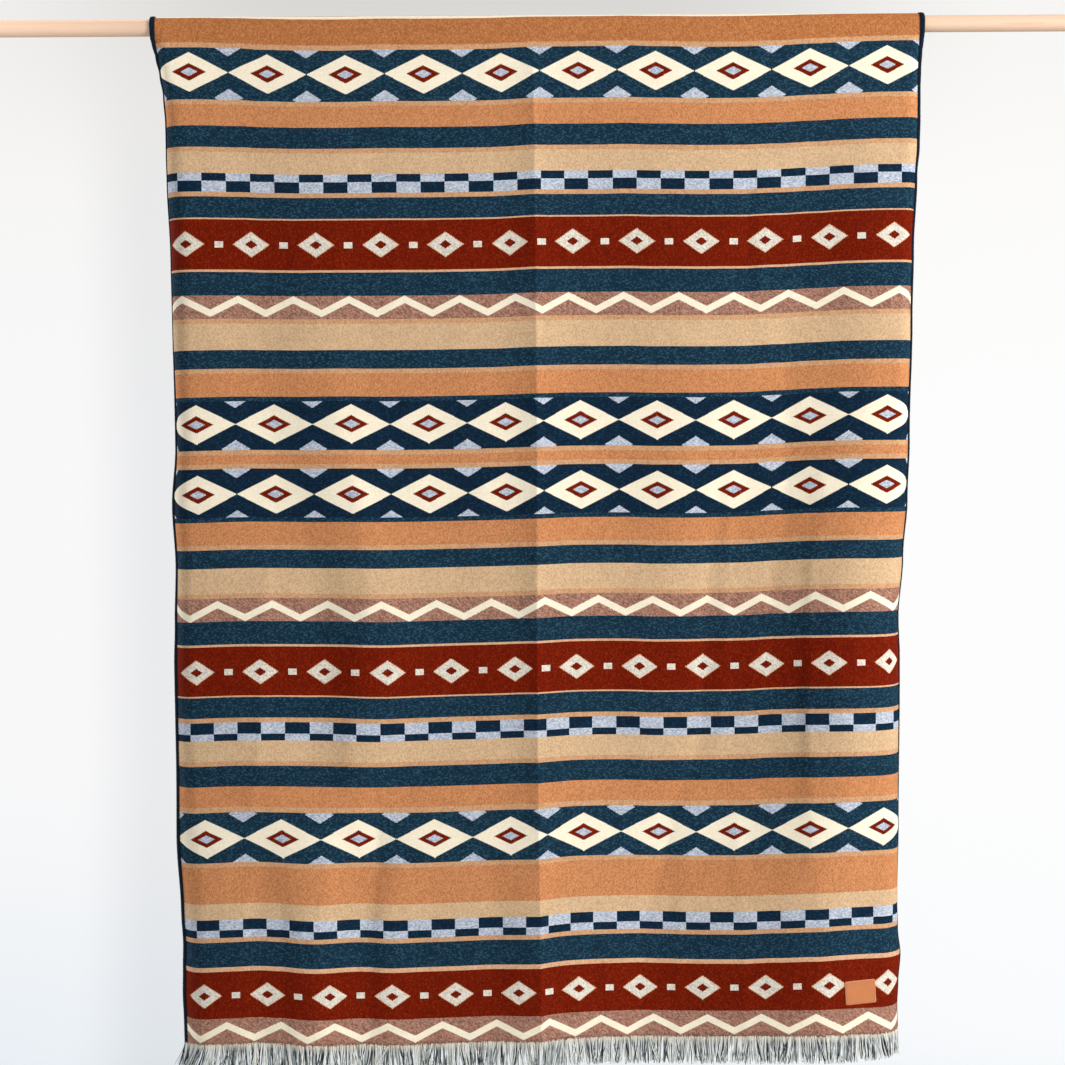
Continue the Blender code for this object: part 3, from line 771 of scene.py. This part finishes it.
def wood_material():
    """Pale planed pine: rings cut lengthwise, fine pores and a soft sheen."""
    t = Tree("pine")
    x, y, z = t.split(t.place())
    bend = t.noise(t.vector(t.mul(x, 1.4), 0.0, 0.0), 2.0, 2.0, 0.5)
    ring = t.math("SQRT", t.add(t.math("POWER", t.add(y, 0.031), 2.0), t.math("POWER", t.add(z, t.mul(bend, 0.022)), 2.0)))
    wave = t.math("FRACT", t.mul(t.add(ring, t.mul(t.noise(t.vector(t.mul(x, 3.0), t.mul(y, 30.0), t.mul(z, 30.0)), 3.0, 2.0, 0.5), 0.004)), 1 / 0.0040))
    late = t.math("POWER", wave, 5.0)
    fibre = t.noise(t.vector(t.mul(x, 14.0), t.mul(y, 900.0), t.mul(z, 900.0)), 1.0, 3.0, 0.6)
    patch = t.noise(t.vector(t.mul(x, 5.0), t.mul(y, 12.0), t.mul(z, 12.0)), 1.0, 2.0, 0.5)
    color = t.mix(patch, dyed(236, 199, 172), dyed(244, 211, 184))
    color = t.mix(t.mul(late, 0.42), color, dyed(220, 172, 135))
    color = t.mix(t.mul(fibre, 0.22), color, dyed(222, 180, 147))
    rough = t.add(0.46, t.mul(fibre, 0.16))
    return t.finish(color, rough, t.bump(t.add(fibre, t.mul(late, 0.4)), 0.10 * MM, 0.5), specular=0.35)


# ==================================================================== pieces
def new_object(name, verts, faces, mats, smooth_faces=True):
    mesh = bpy.data.meshes.new(name)
    mesh.from_pydata([tuple(map(float, v)) for v in verts], [], faces)
    mesh.update()
    if smooth_faces:
        mesh.shade_smooth()
    for m in mats:
        mesh.materials.append(m)
    obj = bpy.data.objects.new(name, mesh)
    bpy.context.scene.collection.objects.link(obj)
    return obj


def set_uv(obj, name, per_vertex):
    """A UV map from one value pair for each vertex."""
    mesh = obj.data
    layer = mesh.uv_layers.new(name=name)
    index = np.empty(len(mesh.loops), dtype=np.int32)
    mesh.loops.foreach_get("vertex_index", index)
    layer.data.foreach_set("uv", np.asarray(per_vertex, dtype=np.float32)[index].ravel())


def set_bake_layout(obj, faces, n, rim_from):
    """Outer face on the left of the unit square, inner face on its right."""
    nr, nc = len(ROWS), len(COLS)
    across = np.broadcast_to(((COLS + HALF) / (2 * HALF))[None, :], (nr, nc)).ravel()
    along = np.broadcast_to((ALONG / THROW_LENGTH)[:, None], (nr, nc)).ravel()
    out = []
    for k, f in enumerate(faces):
        for v in f:
            inner, w = v >= n, v % n
            a, b = float(across[w]), float(along[w])
            if k < rim_from:
                x = 0.676 + 0.320 * a if inner else 0.004 + 0.660 * a
                y = 0.004 + 0.992 * b
            else:
                # The raw edge gets a thin strip of its own round the outer face.
                x, y = 0.004 + 0.660 * a, 0.004 + 0.992 * b
                if inner:
                    x += -0.003 if a < 0.001 else 0.003 if a > 0.999 else 0.0
                    y += -0.003 if b < 0.001 else 0.003 if b > 0.999 else 0.0
            out += (x, y)
    obj.data.uv_layers.new(name="OFBake").data.foreach_set("uv", np.array(out, dtype=np.float32))


def make_cloth(face_mat, reverse_mat):
    nr, nc = len(ROWS), len(COLS)
    half_t = CLOTH_T / 2
    outer = (GRID + NORMALS * half_t).reshape(-1, 3)
    inner = (GRID - NORMALS * half_t).reshape(-1, 3)
    verts = np.concatenate([outer, inner])
    n = nr * nc
    faces = []
    for i in range(nr - 1):
        for j in range(nc - 1):
            a, b, c, d = i * nc + j, i * nc + j + 1, (i + 1) * nc + j + 1, (i + 1) * nc + j
            faces.append((a, b, c, d))
    reverse_from = len(faces)
    faces += [tuple(n + k for k in reversed(f)) for f in faces[:reverse_from]]
    rim_from = len(faces)
    for i in range(nr - 1):
        a, b = i * nc, (i + 1) * nc
        faces.append((a, b, b + n, a + n))
        a, b = i * nc + nc - 1, (i + 1) * nc + nc - 1
        faces.append((b, a, a + n, b + n))
    for j in range(nc - 1):
        a = j
        faces.append((a + 1, a, a + n, a + 1 + n))
        a = (nr - 1) * nc + j
        faces.append((a, a + 1, a + 1 + n, a + n))
    obj = new_object("throw_cloth", verts, faces, [face_mat, reverse_mat])
    flat = np.stack([np.broadcast_to(COLS[None, :], (nr, nc)), PATTERN_V], axis=2).reshape(-1, 2)
    set_uv(obj, "Woven", np.concatenate([flat, flat]))
    set_bake_layout(obj, faces, n, rim_from)
    index = np.zeros(len(faces), dtype=np.int32)
    index[reverse_from:rim_from] = 1
    obj.data.polygons.foreach_set("material_index", index)
    smooth_flags = np.ones(len(faces), dtype=bool)
    smooth_flags[rim_from:] = False
    obj.data.polygons.foreach_set("use_smooth", smooth_flags)
    obj.data.update()
    return obj


def edge_line(side):
    """The cloth's edge, the way in across it and its normal, hem to hem."""
    j, k = (0, 2) if side < 0 else (len(COLS) - 1, len(COLS) - 3)
    inward = GRID[:, k] - GRID[:, j]
    inward /= np.linalg.norm(inward, axis=1, keepdims=True)
    return GRID[:, j], inward, NORMALS[:, j]


def tube(points, radii, sides, verts, faces, strand, tone, flat=None, closed_tip=True):
    """Adds a thin tube along points; strand gets (tone, length so far) for each vertex."""
    points = np.asarray(points, dtype=float)
    tangent = np.gradient(points, axis=0)
    tangent /= np.linalg.norm(tangent, axis=1, keepdims=True) + 1e-12
    side_dir = np.array(flat if flat is not None else (0.0, 1.0, 0.0), dtype=float)
    base = len(verts)
    total = len(points)
    for k in range(total):
        a = side_dir - tangent[k] * (side_dir @ tangent[k])
        a /= np.linalg.norm(a) + 1e-12
        b = np.cross(tangent[k], a)
        for s in range(sides):
            ang = 2 * math.pi * s / sides
            verts.append(points[k] + radii[k] * (a * math.cos(ang) + b * math.sin(ang)))
            strand.append((tone, k / (total - 1)))
    for k in range(total - 1):
        for s in range(sides):
            p, q = base + k * sides + s, base + k * sides + (s + 1) % sides
            faces.append((p, q, q + sides, p + sides))
    faces.append(tuple(base + s for s in reversed(range(sides))))
    faces.append(tuple(base + (total - 1) * sides + s for s in range(sides)))


def make_edging(name, side, mat):
    """Overlock stitches: one loop of yarn after another round the raw edge."""
    rng = np.random.default_rng(11 if side < 0 else 12)
    line, inward, normal = edge_line(side)
    length = np.concatenate([[0.0], np.cumsum(np.linalg.norm(np.diff(line, axis=0), axis=1))])
    total = length[-1]

    def at(s):
        return [np.array([np.interp(s, length, arr[:, k]) for k in range(3)]) for arr in (line, inward, normal)]

    verts, faces, strand = [], [], []
    pitch = 2.1 * MM
    count = int(total / pitch)
    yarn = 1.0 * MM
    wide = EDGING_WRAP + 1.2 * MM          # the loops bite in a little past their solid
    # Under the loops, the yarn that fills them: one folded strip round the edge.
    low, high = CLOTH_T / 2 + 0.05 * MM, CLOTH_T / 2 + 0.62 * MM
    inner = wide - 0.4 * MM
    hull = [(inner, high * 0.94), (2.0 * MM, high), (-0.4 * MM, high * 0.86), (-1.1 * MM, 0.0),
            (-0.4 * MM, -high * 0.86), (2.0 * MM, -high), (inner, -high * 0.94),
            (inner, -low), (0.2 * MM, -low), (-0.05 * MM, 0.0), (0.2 * MM, low), (inner, low)]
    n_hull = len(hull)
    for p, a, n, s in zip(line, inward, normal, length):
        for k, (x, y) in enumerate(hull):
            verts.append(p + a * x + n * y)
            strand.append((k / n_hull, s / pitch / 8))
    for i in range(len(line) - 1):
        for k in range(n_hull):
            a, b = i * n_hull + k, i * n_hull + (k + 1) % n_hull
            faces.append((a, b, b + n_hull, a + n_hull) if side > 0 else (b, a, a + n_hull, b + n_hull))
    ends = [tuple(range(n_hull)), tuple((len(line) - 1) * n_hull + k for k in reversed(range(n_hull)))]
    faces += ends if side < 0 else [tuple(reversed(f)) for f in ends]
    for k in range(count):
        s = (k + 0.5) * pitch
        p, a, n = at(s)
        q = at(min(total, s + pitch * 1.1))[0]
        ahead = q - p
        ahead = ahead / (np.linalg.norm(ahead) + 1e-9) * pitch
        reach = wide + rng.uniform(-0.5, 0.5) * MM
        lift = CLOTH_T / 2 + yarn * 0.62
        out = -0.75 * MM
        shape = ((reach, lift * 0.9, 0.9), (reach * 0.6, lift * 1.10, 0.55), (reach * 0.22, lift * 1.06, 0.2),
                 (out * 0.75, lift * 0.55, 0.0), (out, 0.0, 0.0), (out * 0.75, -lift * 0.55, 0.0),
                 (reach * 0.22, -lift * 1.06, -0.1), (reach * 0.6, -lift * 1.10, -0.3), (reach, -lift * 0.9, -0.5))
        points = [p + a * x + n * y + ahead * z for x, y, z in shape]
        r = yarn * rng.uniform(0.9, 1.08)
        tube(points, [r * 0.75] + [r] * 7 + [r * 0.75], 5, verts, faces, strand, rng.uniform(0, 1), flat=ahead)
    # The chain that locks the loops along their inner ends, front and back.
    for face in (1, -1):
        points = []
        for k in range(count * 2):
            s = (k + 0.5) * pitch / 2
            p, a, n = at(min(s, total - 0.0005))
            wave = 0.35 * MM * (1 if k % 2 else -1)
            points.append(p + a * (wide + wave) + n * face * (CLOTH_T / 2 + 0.75 * MM))
        tube(points, [0.55 * MM] * len(points), 4, verts, faces, strand, 0.5, flat=(0.3, 0.2, 0.9))
    obj = new_object(name, verts, faces, [mat])
    set_uv(obj, "Strand", strand)
    return obj


def make_fringe(name, row, splay_left, splay_right, seed, mat, per_mm):
    """Loose yarn ends, each a thin strand with its own tone, lean and curl."""
    rng = np.random.default_rng(seed)
    hem, normal = GRID[row], NORMALS[row]
    length = np.concatenate([[0.0], np.cumsum(np.linalg.norm(np.diff(hem, axis=0), axis=1))])
    total = length[-1]
    verts, faces, strand = [], [], []
    count = int(total / MM * per_mm)
    for k in range(count):
        s = (k + rng.uniform(0.1, 0.9)) / count * total
        s = min(max(s, 0.6 * MM), total - 0.6 * MM)
        p = np.array([np.interp(s, length, hem[:, c]) for c in range(3)])
        n = np.array([np.interp(s, length, normal[:, c]) for c in range(3)])
        n[2] = 0.0
        n /= np.linalg.norm(n)
        across = np.array([n[1] * -1.0, n[0], 0.0])
        if across[0] < 0:
            across = -across
        u = np.interp(s, length, COLS)
        # Neighbouring strands lean together in loose tufts.
        tuft = math.sin(u * 170.0 + seed) * 3.0 + math.sin(u * 61.0 + 2.0 * seed) * 4.0 + math.sin(u * 431.0) * 2.4
        lean = (tuft + rng.normal(0, 3.4)) * MM
        lean += splay_left * smooth((-u - 0.52) / 0.13) + splay_right * smooth((u - 0.50) / 0.15)
        long = FRINGE_LENGTH * rng.uniform(0.84, 1.0) * (1 - 0.16 * smooth((u - 0.53) / 0.12)) - 0.6 * MM
        curl, phase = rng.uniform(0.4, 2.8) * MM, rng.uniform(0, 6.28)
        r = rng.uniform(0.60, 1.05) * MM
        # Each comes out of the hem a little higher or lower, most on its face.
        rise = rng.uniform(0.3, 3.4) * MM
        depth0 = (CLOTH_T / 2 + 0.35 * r) * (1 if rng.uniform() < 0.72 else -1)
        depth1 = max(-4.0 * MM, min(4.0 * MM, rng.normal(0, 1.6) * MM))
        if rng.uniform() < 0.035:
            lean += rng.normal(0, 11) * MM
            curl *= 2.4
        points = []
        steps = 7
        for q in range(steps + 1):
            t = q / steps
            sway = curl * math.sin(phase + t * 4.2) * t
            points.append(p + np.array([0, 0, rise - (long + rise) * t])
                          + across * (lean * t ** 1.3 + sway) + n * (depth0 * (1 - t) + depth1 * t))
        # Dark and pale ends gather in small tufts.
        pick = rng.uniform(0, 1) + 0.16 * math.sin(u * 880.0 + 3.0 * math.sin(u * 131.0 + seed))
        if pick < 0.22:
            tone = rng.uniform(0.0, 0.20)
        elif pick < 0.42:
            tone = rng.uniform(0.24, 0.52)
        else:
            tone = rng.uniform(0.58, 1.0)
        tube(points, [r * 0.8, r, r, r * 1.05, r, r, r * 0.85, r * 0.55], 4, verts, faces, strand, tone)
    obj = new_object(name, verts, faces, [mat])
    set_uv(obj, "Strand", strand)
    return obj


def cloth_at(u, v):
    """A place on the cloth's outer face: point and normal at woven u, v."""
    i = np.interp(v, ALONG, np.arange(len(ALONG)))
    j = np.interp(u, COLS, np.arange(len(COLS)))
    i0, j0 = min(int(i), len(ALONG) - 2), min(int(j), len(COLS) - 2)
    s, t = i - i0, j - j0

    def blend(arr):
        return ((1 - s) * (1 - t) * arr[i0, j0] + (1 - s) * t * arr[i0, j0 + 1]
                + s * (1 - t) * arr[i0 + 1, j0] + s * t * arr[i0 + 1, j0 + 1])
    n = blend(NORMALS)
    return blend(GRID), n / np.linalg.norm(n)


LABEL_U = (HALF - 133 * MM, HALF - 77 * MM)
LABEL_V = (FRONT_DROP - 1666.5 * MM, FRONT_DROP - 1625.5 * MM)
LABEL_T = 1.6 * MM
LABEL_TILT = 0.055           # sewn on a little askew, its right end higher


def label_at(u, v):
    """A place on the cloth under the patch, which sits askew."""
    middle_u, middle_v = 0.5 * sum(LABEL_U), 0.5 * sum(LABEL_V)
    return cloth_at(u - LABEL_TILT * (v - middle_v), v + LABEL_TILT * (u - middle_u))


def make_label(mat):
    """The leather patch: rounded corners, soft edges, lies on the cloth."""
    nu, nv = 48, 34
    wide, high = LABEL_U[1] - LABEL_U[0], LABEL_V[1] - LABEL_V[0]
    corner = 3.0 * MM
    verts, patch = [], []

    def rounded(a, b):
        """Moves a place of the unit square onto one with round corners."""
        x, y = (a - 0.5) * wide, (b - 0.5) * high
        hx, hy = wide / 2 - corner, high / 2 - corner
        dx, dy = abs(x) - hx, abs(y) - hy
        if dx > 0 and dy > 0:
            far = math.hypot(dx, dy)
            most = max(dx, dy)
            if far > 0:
                x = math.copysign(hx + dx * most / far, x)
                y = math.copysign(hy + dy * most / far, y)
        return x / wide + 0.5, y / high + 0.5

    for layer in (1, 0):
        for i in range(nv + 1):
            for j in range(nu + 1):
                a, b = rounded(j / nu, i / nv)
                p, n = label_at(LABEL_U[0] + a * wide, LABEL_V[0] + b * high)
                rim = min(a * wide, (1 - a) * wide, b * high, (1 - b) * high)
                soft = smooth(rim / (1.3 * MM))
                off = CLOTH_T / 2 + (0.15 * MM if layer == 0 else 0.15 * MM + LABEL_T * (0.55 + 0.45 * soft))
                verts.append(p + n * off)
                patch.append((a, b))
    w = nu + 1
    n = w * (nv + 1)
    faces = []
    for i in range(nv):
        for j in range(nu):
            a, b, c, d = i * w + j, i * w + j + 1, (i + 1) * w + j + 1, (i + 1) * w + j
            faces.append((a, b, c, d))
            faces.append((d + n, c + n, b + n, a + n))
    for j in range(nu):
        faces.append((j + 1, j, j + n, j + 1 + n))
        a = nv * w + j
        faces.append((a, a + 1, a + 1 + n, a + n))
    for i in range(nv):
        a, b = i * w, (i + 1) * w
        faces.append((a, b, b + n, a + n))
        a, b = i * w + nu, (i + 1) * w + nu
        faces.append((b, a, a + n, b + n))
    obj = new_object("label_leather", verts, faces, [mat])
    set_uv(obj, "Patch", patch)
    return obj


def make_label_stitches(mat):
    """A row of short stitches inside the patch's rim."""
    wide, high = LABEL_U[1] - LABEL_U[0], LABEL_V[1] - LABEL_V[0]
    inset, pitch, long = 2.6 * MM, 3.1 * MM, 2.1 * MM
    u0, u1, v0, v1 = LABEL_U[0] + inset, LABEL_U[1] - inset, LABEL_V[0] + inset, LABEL_V[1] - inset
    verts, faces, strand = [], [], []
    lines = (((u0, v0), (u1, v0)), ((u1, v0), (u1, v1)), ((u1, v1), (u0, v1)), ((u0, v1), (u0, v0)))
    for (a, b), (c, d) in lines:
        span = math.hypot(c - a, d - b)
        count = int(round(span / pitch))
        for k in range(count):
            mid = (k + 0.5) / count
            points = []
            for q in range(5):
                t = mid + (q / 4 - 0.5) * long / span
                p, n = label_at(a + (c - a) * t, b + (d - b) * t)
                rise = 0.28 * math.sin(math.pi * q / 4) - 0.12
                points.append(p + n * (CLOTH_T / 2 + 0.15 * MM + LABEL_T + rise * MM))
            tube(points, [0.16 * MM, 0.26 * MM, 0.28 * MM, 0.26 * MM, 0.16 * MM], 6, verts, faces, strand, 0.5, flat=(0.1, 1.0, 0.1))
    obj = new_object("label_stitches", verts, faces, [mat])
    set_uv(obj, "Strand", strand)
    return obj


def make_rod(mat):
    radius, half = ROD_DIAMETER / 2, ROD_LENGTH / 2
    sides = 96
    soft = 1.5 * MM
    profile = [(-half, 0.0), (-half, radius - soft)]
    profile += [(-half + soft * (1 - math.cos(a)), radius - soft * (1 - math.sin(a))) for a in (math.pi / 6, math.pi / 3, math.pi / 2)]
    stations = [-half + soft + (2 * half - 2 * soft) * k / 60 for k in range(1, 60)]
    profile += [(x, radius) for x in stations]
    profile += [(half - soft * (1 - math.cos(a)), radius - soft * (1 - math.sin(a))) for a in (math.pi / 2, math.pi / 3, math.pi / 6)]
    profile += [(half, radius - soft), (half, 0.0)]
    bm = bmesh.new()
    rings = []
    for x, r in profile:
        if r == 0.0:
            rings.append([bm.verts.new((x, 0, 0))])
        else:
            rings.append([bm.verts.new((x, r * math.cos(2 * math.pi * k / sides), r * math.sin(2 * math.pi * k / sides))) for k in range(sides)])
    for a, b in zip(rings, rings[1:]):
        for k in range(sides):
            m = (k + 1) % sides
            if len(a) == 1:
                bm.faces.new((a[0], b[m], b[k]))
            elif len(b) == 1:
                bm.faces.new((a[k], a[m], b[0]))
            else:
                bm.faces.new((a[k], a[m], b[m], b[k]))
    bmesh.ops.recalc_face_normals(bm, faces=bm.faces)
    mesh = bpy.data.meshes.new("rod_wood")
    bm.to_mesh(mesh)
    bm.free()
    mesh.shade_smooth()
    mesh.set_sharp_from_angle(angle=math.radians(50))
    mesh.materials.append(mat)
    obj = bpy.data.objects.new("rod_wood", mesh)
    bpy.context.scene.collection.objects.link(obj)
    return obj


# ===================================================================== stage
def make_floor():
    """A plain pale floor under the hanging cloth that fades out around it."""
    bm = bmesh.new()
    bmesh.ops.create_circle(bm, cap_ends=True, segments=96, radius=3.0)
    mesh = bpy.data.meshes.new("studio_floor")
    bm.to_mesh(mesh)
    bm.free()
    t = Tree("studio_floor")
    x, y, z = t.split(t.place())
    ahead = t.add(y, 0.4)
    far = t.math("SQRT", t.add(t.mul(x, x), t.mul(ahead, ahead)))
    cover = t.math("SUBTRACT", 1.0, t.math("DIVIDE", t.sub(far, 0.8), 1.1), clamp=True)
    grain = t.noise(t.place(), 14.0, 3.0, 0.5)
    t.finish(t.mix(grain, (0.76, 0.78, 0.81, 1), (0.79, 0.81, 0.84, 1)), 0.7, specular=0.2)
    clear = t.nodes.new("ShaderNodeBsdfTransparent")
    blend = t.nodes.new("ShaderNodeMixShader")
    t.put(blend.inputs[0], t.mul(cover, cover))
    t.links.new(clear.outputs[0], blend.inputs[1])
    t.links.new(t.shader.outputs[0], blend.inputs[2])
    t.links.new(blend.outputs[0], t.output.inputs[0])
    mesh.materials.append(t.mat)
    obj = bpy.data.objects.new("studio_floor", mesh)
    obj.location = (0, 0, -2.06)
    bpy.context.scene.collection.objects.link(obj)


def make_world():
    world = bpy.data.worlds.new("studio")
    bpy.context.scene.world = world
    world.use_nodes = True
    nodes, links = world.node_tree.nodes, world.node_tree.links
    nodes.clear()
    out = nodes.new("ShaderNodeOutputWorld")
    seen, fill = nodes.new("ShaderNodeBackground"), nodes.new("ShaderNodeBackground")
    fill.inputs[0].default_value = (0.97, 0.985, 1.0, 1.0)
    fill.inputs[1].default_value = 0.50
    coords = nodes.new("ShaderNodeTexCoord")
    parts = nodes.new("ShaderNodeSeparateXYZ")
    links.new(coords.outputs["Generated"], parts.inputs[0])

    def ramp(socket, low, high, stops):
        span = nodes.new("ShaderNodeMapRange")
        span.inputs[1].default_value, span.inputs[2].default_value = low, high
        links.new(socket, span.inputs[0])
        r = nodes.new("ShaderNodeValToRGB")
        links.new(span.outputs[0], r.inputs[0])
        r.color_ramp.interpolation = "EASE"
        r.color_ramp.elements[0].position, r.color_ramp.elements[0].color = stops[0]
        r.color_ramp.elements[1].position, r.color_ramp.elements[1].color = stops[-1]
        for place, color in stops[1:-1]:
            r.color_ramp.elements.new(place).color = color
        return r.outputs[0]

    base = ramp(parts.outputs[0], -0.26, 0.26, ((0.0, rgb(248, 248, 249)), (0.55, rgb(251, 251, 251)), (1.0, rgb(253, 253, 253))))
    floor_side = ramp(parts.outputs[0], -0.26, 0.26, ((0.0, rgb(230, 237.5, 243.5)), (0.25, rgb(236, 241, 246)), (1.0, rgb(248, 250.5, 253))))

    def number(op, *args):
        n = nodes.new("ShaderNodeMath")
        n.operation = op
        for k, a in enumerate(args):
            if isinstance(a, bpy.types.NodeSocket):
                links.new(a, n.inputs[k])
            else:
                n.inputs[k].default_value = a
        return n.outputs[0]

    def spread(socket, low, high, first, last):
        n = nodes.new("ShaderNodeMapRange")
        n.interpolation_type = "SMOOTHSTEP"
        for k, a in enumerate((low, high, first, last)):
            n.inputs[k + 1].default_value = a
        links.new(socket, n.inputs[0])
        return n.outputs[0]

    def blended(factor, a, b, blend="MIX"):
        n = nodes.new("ShaderNodeMix")
        n.data_type, n.blend_type = "RGBA", blend
        links.new(factor, n.inputs[0])
        for k, value in ((6, a), (7, b)):
            if isinstance(value, bpy.types.NodeSocket):
                links.new(value, n.inputs[k])
            else:
                n.inputs[k].default_value = value
        return n.outputs[2]

    # The room is a little cooler low down, has painted shade high up behind the middle of the rod, and a painted soft
    # shadow beside the cloth's left edge.
    x, z = parts.outputs[0], parts.outputs[2]
    color = blended(spread(z, -0.15, -0.33, 0.0, 1.0), base, floor_side)
    high_up = spread(z, 0.10, 0.21, 0.0, 1.0)
    # painted soft shadow beside the cloth's left edge
    beside = number("MULTIPLY", spread(x, -0.195, -0.155, 0.0, 1.0), spread(x, -0.11, -0.06, 1.0, 0.0))
    shade = number("MULTIPLY", beside, number("SUBTRACT", 1.0, high_up))
    color = blended(shade, color, rgb(240.5, 241, 242), "MULTIPLY")
    color = blended(spread(z, -0.02, 0.15, 0.0, 1.0), color, rgb(253.5, 252.5, 250.5), "MULTIPLY")
    aside = number("ABSOLUTE", number("ADD", x, 0.003))
    # painted shade high up behind the middle of the rod
    color = blended(number("MULTIPLY", high_up, spread(aside, 0.075, 0.26, 1.0, 0.15)), color, rgb(217, 214.5, 211))
    links.new(color, seen.inputs[0])
    rays = nodes.new("ShaderNodeLightPath")
    mix = nodes.new("ShaderNodeMixShader")
    links.new(rays.outputs["Is Camera Ray"], mix.inputs[0])
    links.new(fill.outputs[0], mix.inputs[1])
    links.new(seen.outputs[0], mix.inputs[2])
    links.new(mix.outputs[0], out.inputs[0])


def area_light(name, place, target, size, power, color):
    data = bpy.data.lights.new(name, "AREA")
    data.shape, data.size, data.size_y = "RECTANGLE", size[0], size[1]
    data.energy, data.color = power, color
    obj = bpy.data.objects.new(name, data)
    obj.location = place
    obj.rotation_euler = (Vector(target) - Vector(place)).to_track_quat("-Z", "Y").to_euler()
    bpy.context.scene.collection.objects.link(obj)


def small_light(name, place, target, power, color):
    """A soft-edged spot, about half a metre across where it lands."""
    data = bpy.data.lights.new(name, "SPOT")
    data.energy, data.color = power, color
    data.spot_size, data.spot_blend, data.shadow_soft_size = math.radians(17), 1.0, 0.2
    obj = bpy.data.objects.new(name, data)
    obj.location = place
    obj.rotation_euler = (Vector(target) - Vector(place)).to_track_quat("-Z", "Y").to_euler()
    bpy.context.scene.collection.objects.link(obj)


def make_camera():
    data = bpy.data.cameras.new("photo_view")
    data.lens, data.sensor_width, data.sensor_fit = 69.38, 36.0, "AUTO"
    data.clip_start, data.clip_end = 0.05, 100.0
    obj = bpy.data.objects.new("photo_view", data)
    turn = (Matrix.Rotation(math.radians(-1.4), 4, "Z") @ Matrix.Rotation(math.radians(-3.0), 4, "X")
            @ Matrix.Rotation(math.radians(0.5944), 4, "Y"))
    axes = Matrix(((1, 0, 0, 0), (0, 0, -1, 0), (0, 1, 0, 0), (0, 0, 0, 1)))   # camera axes: X right, Y up, -Z ahead
    obj.matrix_world = Matrix.Translation((-0.10452, -3.49, -0.66995)) @ turn @ axes
    bpy.context.scene.collection.objects.link(obj)
    bpy.context.scene.camera = obj


# ===================================================================== build
def main():
    scene = bpy.context.scene
    scene.view_settings.view_transform = "Standard"
    scene.view_settings.look = "None"
    scene.view_settings.exposure = 0.0
    scene.view_settings.gamma = 1.0

    face, reverse = woven_material("woven_face"), woven_material("woven_reverse", True)
    navy_yarn = yarn_material("navy_yarn", dyed(7, 18, 32), dyed(30, 56, 80))
    thread = yarn_material("patch_thread", dyed(176, 106, 64), dyed(214, 150, 104))
    fringe_mat = fringe_material()

    cloth = make_cloth(face, reverse)
    edging_l = make_edging("edging_stitches_left", -1, navy_yarn)
    edging_r = make_edging("edging_stitches_right", 1, navy_yarn)
    fringe_f = make_fringe("fringe_strands_front", 0, -24 * MM, 7 * MM, 21, fringe_mat, 1.15)
    fringe_b = make_fringe("fringe_strands_back", len(ROWS) - 1, -4 * MM, 4 * MM, 22, fringe_mat, 1.05)
    label = make_label(leather_material())
    label_stitches = make_label_stitches(thread)
    rod = make_rod(wood_material())

    for piece, nodes, name in (
            (cloth, ("throw",), "woven_cloth"), (edging_l, ("edging_left",), "navy_yarn"),
            (edging_r, ("edging_right",), "navy_yarn"), (fringe_f, ("fringe_front",), "fringe_yarn"),
            (fringe_b, ("fringe_back",), "fringe_yarn"), (label, ("label_patch",), "leather"),
            (label_stitches, (), "leather"), (rod, ("rod",), "pine")):
        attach(piece, "root")
        if nodes:
            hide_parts(*nodes)

    make_floor()
    make_world()
    area_light("window_right", (3.7, -2.75, 0.45), (0.0, 0.0, -0.6), (1.8, 2.4), 222.0, (1.0, 0.985, 0.955))
    area_light("soft_top", (-0.25, 0.85, 1.25), (0.0, 0.0, 0.0), (2.2, 0.5), 16.0, (1.0, 0.99, 0.97))
    area_light("soft_left", (-3.4, 1.15, -0.6), (0.0, 0.0, -0.9), (1.6, 2.6), 60.0, (0.97, 0.985, 1.0))
    small_light("rod_end_left", (-1.75, -2.1, 0.45), (-0.96, 0.0, 0.0), 104.0, (1.0, 0.985, 0.95))
    make_camera()


main()
